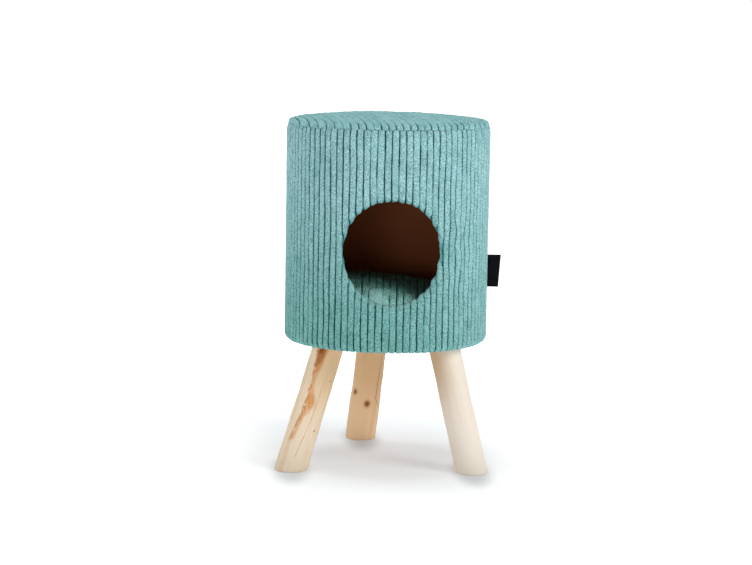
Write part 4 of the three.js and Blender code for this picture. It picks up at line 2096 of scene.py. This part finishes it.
@dataclass
class Stand:
    """The three legs and the marks that each shows.

    Attributes:
        drum: The drum that they carry.
        radius: Radius of a pole.
    """

    drum: Drum
    radius: float = 23.6 * MM

    def legs(self) -> list[Leg]:
        """The three legs.

        Returns:
            Legs in the order left, right, back.
        """
        low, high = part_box("leg_left")
        common = {"radius": self.radius, "length": high.z - low.z}
        left = WoodFinish(
            light=linear(240, 221, 196),
            dark=linear(227, 198, 163),
            **common,
            seed=0.3,
            painted_top_shade=(0.86, 0.73, 0.54, 1.0),
            painted_shade_heights=(0.2, 0.9),
            shaded=(10.0, -25.0),
            streaks=(Streak(low_turn=-23.0, high_turn=-7.0, bottom=0.23, belly=0.53, width=5.6 * MM),),
            cracks=(
                Crack(turn=28.0, share=0.4, above=0.026, below=-0.14, top=0.65, bottom=0.1, width=0.22 * MM),
            ),
            knots=(Knot(54.0, 0.313, 0.9 * MM), Knot(61.0, 0.69, 0.8 * MM)),
        )
        right = WoodFinish(
            light=linear(240, 228, 214),
            dark=linear(231, 214, 193),
            **common,
            seed=1.7,
            painted_top_shade=(0.6, 0.46, 0.3, 1.0),
            painted_shade_heights=(0.3, 0.9),
            shaded=(-45.0, 45.0),
        )
        back = WoodFinish(
            light=linear(243, 206, 163),
            dark=linear(229, 188, 141),
            **common,
            seed=2.9,
            painted_top_shade=(0.7, 0.66, 0.55, 1.0),
            knots=(Knot(-53.0, 0.422, 3.4 * MM), Knot(4.0, 0.325, 3.9 * MM)),
            cracks=(
                Crack(turn=37.0, share=0.37, above=0.05, below=0.62, top=0.9, bottom=0.27, width=0.5 * MM),
            ),
        )
        return [
            Leg("leg_left", self._at(168.0, -149.4), self._at(102.5, -147.0), left, face=51.0, seed=61),
            Leg("leg_right", self._at(163.5, -38.0), self._at(105.5, -37.2), right, face=-60.0, seed=62),
            Leg("leg_back", self._at(166.0, 99.7), self._at(104.0, 96.0), back, face=165.0, seed=63),
        ]

    def _at(self, millimetres: float, degrees: float) -> np.ndarray:
        """A place round the drum's axis."""
        turn = math.radians(degrees)
        return self.drum.axis + millimetres * MM * np.array([math.cos(turn), math.sin(turn)])


@dataclass(frozen=True)
class Lamp:
    """A soft square lamp, aimed at the drum.

    Attributes:
        name: Its name.
        place: Where it hangs.
        size: Side of its square.
        power: Its power in watts.
    """

    name: str
    place: tuple[float, float, float]
    size: float
    power: float


@dataclass
class Studio:
    """Pale floor, soft light and the camera at the photograph's angle.

    Attributes:
        drum: The drum that the camera is aimed at.
        feet: Where the feet stand.
        aim_height: Height that the camera is aimed at.
        distance: From there to the camera.
        elevation: Degrees above the horizon.
        azimuth: Degrees round from the front, towards +X.
        roll: Degrees that the camera is rolled.
        focal_pixels: Focal length in pixels of the photograph.
        aim_pixel: Where the aim lies across the photograph, in pixels.
        frame_width: Width of the photograph, in pixels.
        sensor: Width of the camera's sensor, in millimetres.
        sight: How far the camera sees.
        lamps: Its lamps.
        lamp_colour: Their colour.
        sky: Strength of the light from all round.
        floor_half: Half the floor's width.
        floor_glow: Painted light: light that the floor gives of itself, though it is no lamp.
        shade_middle: Middle of the floor's painted shadow under the bed.
        shade_reach: Half width and half depth of that patch.
        shade_least: Share of the floor's own light in the middle of it.
        shade_rises: What is added further out, each with the shares of the reach where it begins and is full.
        foot_reach: Half width and half depth of the painted shadow at a foot.
        foot_least: Share of the light in the middle of that.
        foot_rise: Shares of its reach where the light begins to rise and is full.
    """

    drum: Drum
    feet: Sequence[np.ndarray]
    aim_height: float = 275.1 * MM
    distance: float = 3642.5 * MM
    elevation: float = 7.61
    azimuth: float = -3.31
    roll: float = 1.01
    focal_pixels: float = 2373.5
    aim_pixel: float = 386.11
    frame_width: float = 752.0
    sensor: float = 36.0
    sight: float = 500.0
    lamps: tuple[Lamp, ...] = (
        Lamp("key", (1.62, -1.42, 1.6), 1.1, 26.0),
        Lamp("side_fill", (-2.2, -0.8, 1.0), 1.2, 6.5),
        Lamp("overhead", (-0.2, 0.3, 2.7), 1.2, 34.0),
        Lamp("front_fill", (-0.77, -2.86, 0.34), 0.6, 7.3),
    )
    lamp_colour: tuple[float, float, float] = (1.0, 1.0, 0.99)
    sky: float = 0.2
    floor_half: float = 60.0
    floor_glow: float = 1.2
    shade_middle: tuple[float, float] = (-18 * MM, 48 * MM)
    shade_reach: tuple[float, float] = (215 * MM, 406 * MM)
    shade_least: float = 0.39
    shade_rises: tuple[tuple[float, float, float], ...] = ((0.15, 0.25, 1.05), (0.46, 1.0, 1.6))
    foot_reach: tuple[float, float] = (40 * MM, 140 * MM)
    foot_least: float = 0.4
    foot_rise: tuple[float, float] = (0.25, 1.0)

    def camera(self) -> None:
        """Makes the camera and gives it to the scene."""
        tilt, turn, roll = (math.radians(v) for v in (self.elevation, self.azimuth, self.roll))
        back = Vector((math.sin(turn) * math.cos(tilt), -math.cos(turn) * math.cos(tilt), math.sin(tilt)))
        level = Vector((math.cos(turn), math.sin(turn), 0))
        upright = back.cross(level)
        right = level * math.cos(roll) + upright * math.sin(roll)
        up = upright * math.cos(roll) - level * math.sin(roll)
        aim = Vector((*self.drum.axis, self.aim_height))
        lens = bpy.data.cameras.new("camera")
        lens.sensor_width = self.sensor
        lens.lens = self.focal_pixels / self.frame_width * self.sensor
        lens.shift_x = (0.5 * self.frame_width - self.aim_pixel) / self.frame_width
        lens.clip_end = self.sight
        made = placed("camera", lens)
        turned = Matrix((right, up, back)).transposed().to_4x4()
        made.matrix_world = Matrix.Translation(aim + back * self.distance) @ turned
        bpy.context.scene.camera = made

    def floor(self) -> None:
        """Lays the floor. Its own glow is painted light, and a painted shadow dims it under the bed, most at
        the feet.
        """
        graph = Graph("studio_floor")
        here = graph.place((1, 1, 1))
        tint = graph.mix(graph.noise(here, 3.0, 1.0), linear(185, 190, 193), linear(189, 194, 197))
        # Painted shadow: the floor's own glow is weaker in a patch under the bed and at each foot.
        x, y = self._shares(graph, here, self.shade_middle, self.shade_reach)
        away = ((x * x) ** 2 + y * y) ** 0.5
        own = self.shade_least
        for rise, start, full in self.shade_rises:
            own = own + rise * away.ramp(start, full)
        for foot in self.feet:
            x, y = self._shares(graph, here, foot.tolist(), self.foot_reach)
            rising = ((x * x + y * y) ** 0.5).ramp(*self.foot_rise)
            own = own * (self.foot_least + (1 - self.foot_least) * rising)
        lit = graph.mix(own, (0.0, 0.0, 0.0, 1.0), (1.0, 1.0, 1.0, 1.0))
        glow = {"Emission Color": lit, "Emission Strength": self.floor_glow}
        material = graph.finish({"Base Color": tint, "Roughness": 0.9, "Specular IOR Level": 0.1, **glow})
        half = self.floor_half
        corners = np.array([[-half, -half, 0], [half, -half, 0], [half, half, 0], [-half, half, 0]])
        mesh = Surface(corners, [np.arange(4)[None]]).mesh("floor")
        mesh.materials.append(material)
        made = placed("floor", mesh)

    def _shares(
        self, graph: Graph, here: Wire, middle: Sequence[float], reach: Sequence[float]
    ) -> tuple[Wire, Wire]:
        """Offsets from a place on the floor, as shares of a reach.

        Args:
            graph: The floor's graph.
            here: Place that is shaded.
            middle: Place that the offsets are from.
            reach: Half width and half depth that count as 1.

        Returns:
            Offsets across and in depth.
        """
        x, y, _ = graph.parts(here)
        return (x - middle[0]) / reach[0], (y - middle[1]) / reach[1]

    def light(self, lamp: Lamp) -> None:
        """Hangs one lamp.

        Args:
            lamp: Which one.
        """
        data = bpy.data.lights.new(lamp.name, "AREA")
        data.size = lamp.size
        data.energy = lamp.power
        data.color = self.lamp_colour
        made = placed(lamp.name, data)
        aim = Vector((*self.drum.axis, self.aim_height))
        made.location = Vector(lamp.place)
        made.rotation_euler = (aim - made.location).to_track_quat("-Z", "Y").to_euler()

    def build(self) -> None:
        """Makes the whole studio."""
        world = bpy.data.worlds.new("soft_sky")
        world.use_nodes = True
        sky = world.node_tree.nodes["Background"]
        sky.inputs["Color"].default_value = (1.0, 1.0, 1.0, 1.0)
        sky.inputs["Strength"].default_value = self.sky
        scene = bpy.context.scene
        scene.world = world
        scene.view_settings.view_transform = "Standard"
        self.camera()
        self.floor()
        for lamp in self.lamps:
            self.light(lamp)


def main() -> None:
    """Builds the bed piece by piece."""
    logging.basicConfig(level=logging.INFO, format="%(message)s")
    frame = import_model()
    drum = Drum.from_frame()
    mouth = Mouth()
    legs = Stand(drum).legs()
    Studio(drum, [leg.foot for leg in legs]).build()
    wall = InnerDrum(drum, mouth, BoardFinish()).build(frame["nodes"])
    panel = SidePanel(drum, mouth, SIDE_CORDUROY).build(wall)
    TopPanel(drum, TOP_CORDUROY).build()
    Cushion(drum, CUSHION_CORDUROY).build()
    SideLabel(drum, RibbonFinish()).build(panel)
    for leg in legs:
        leg.build()


if __name__ == "__main__":
    main()
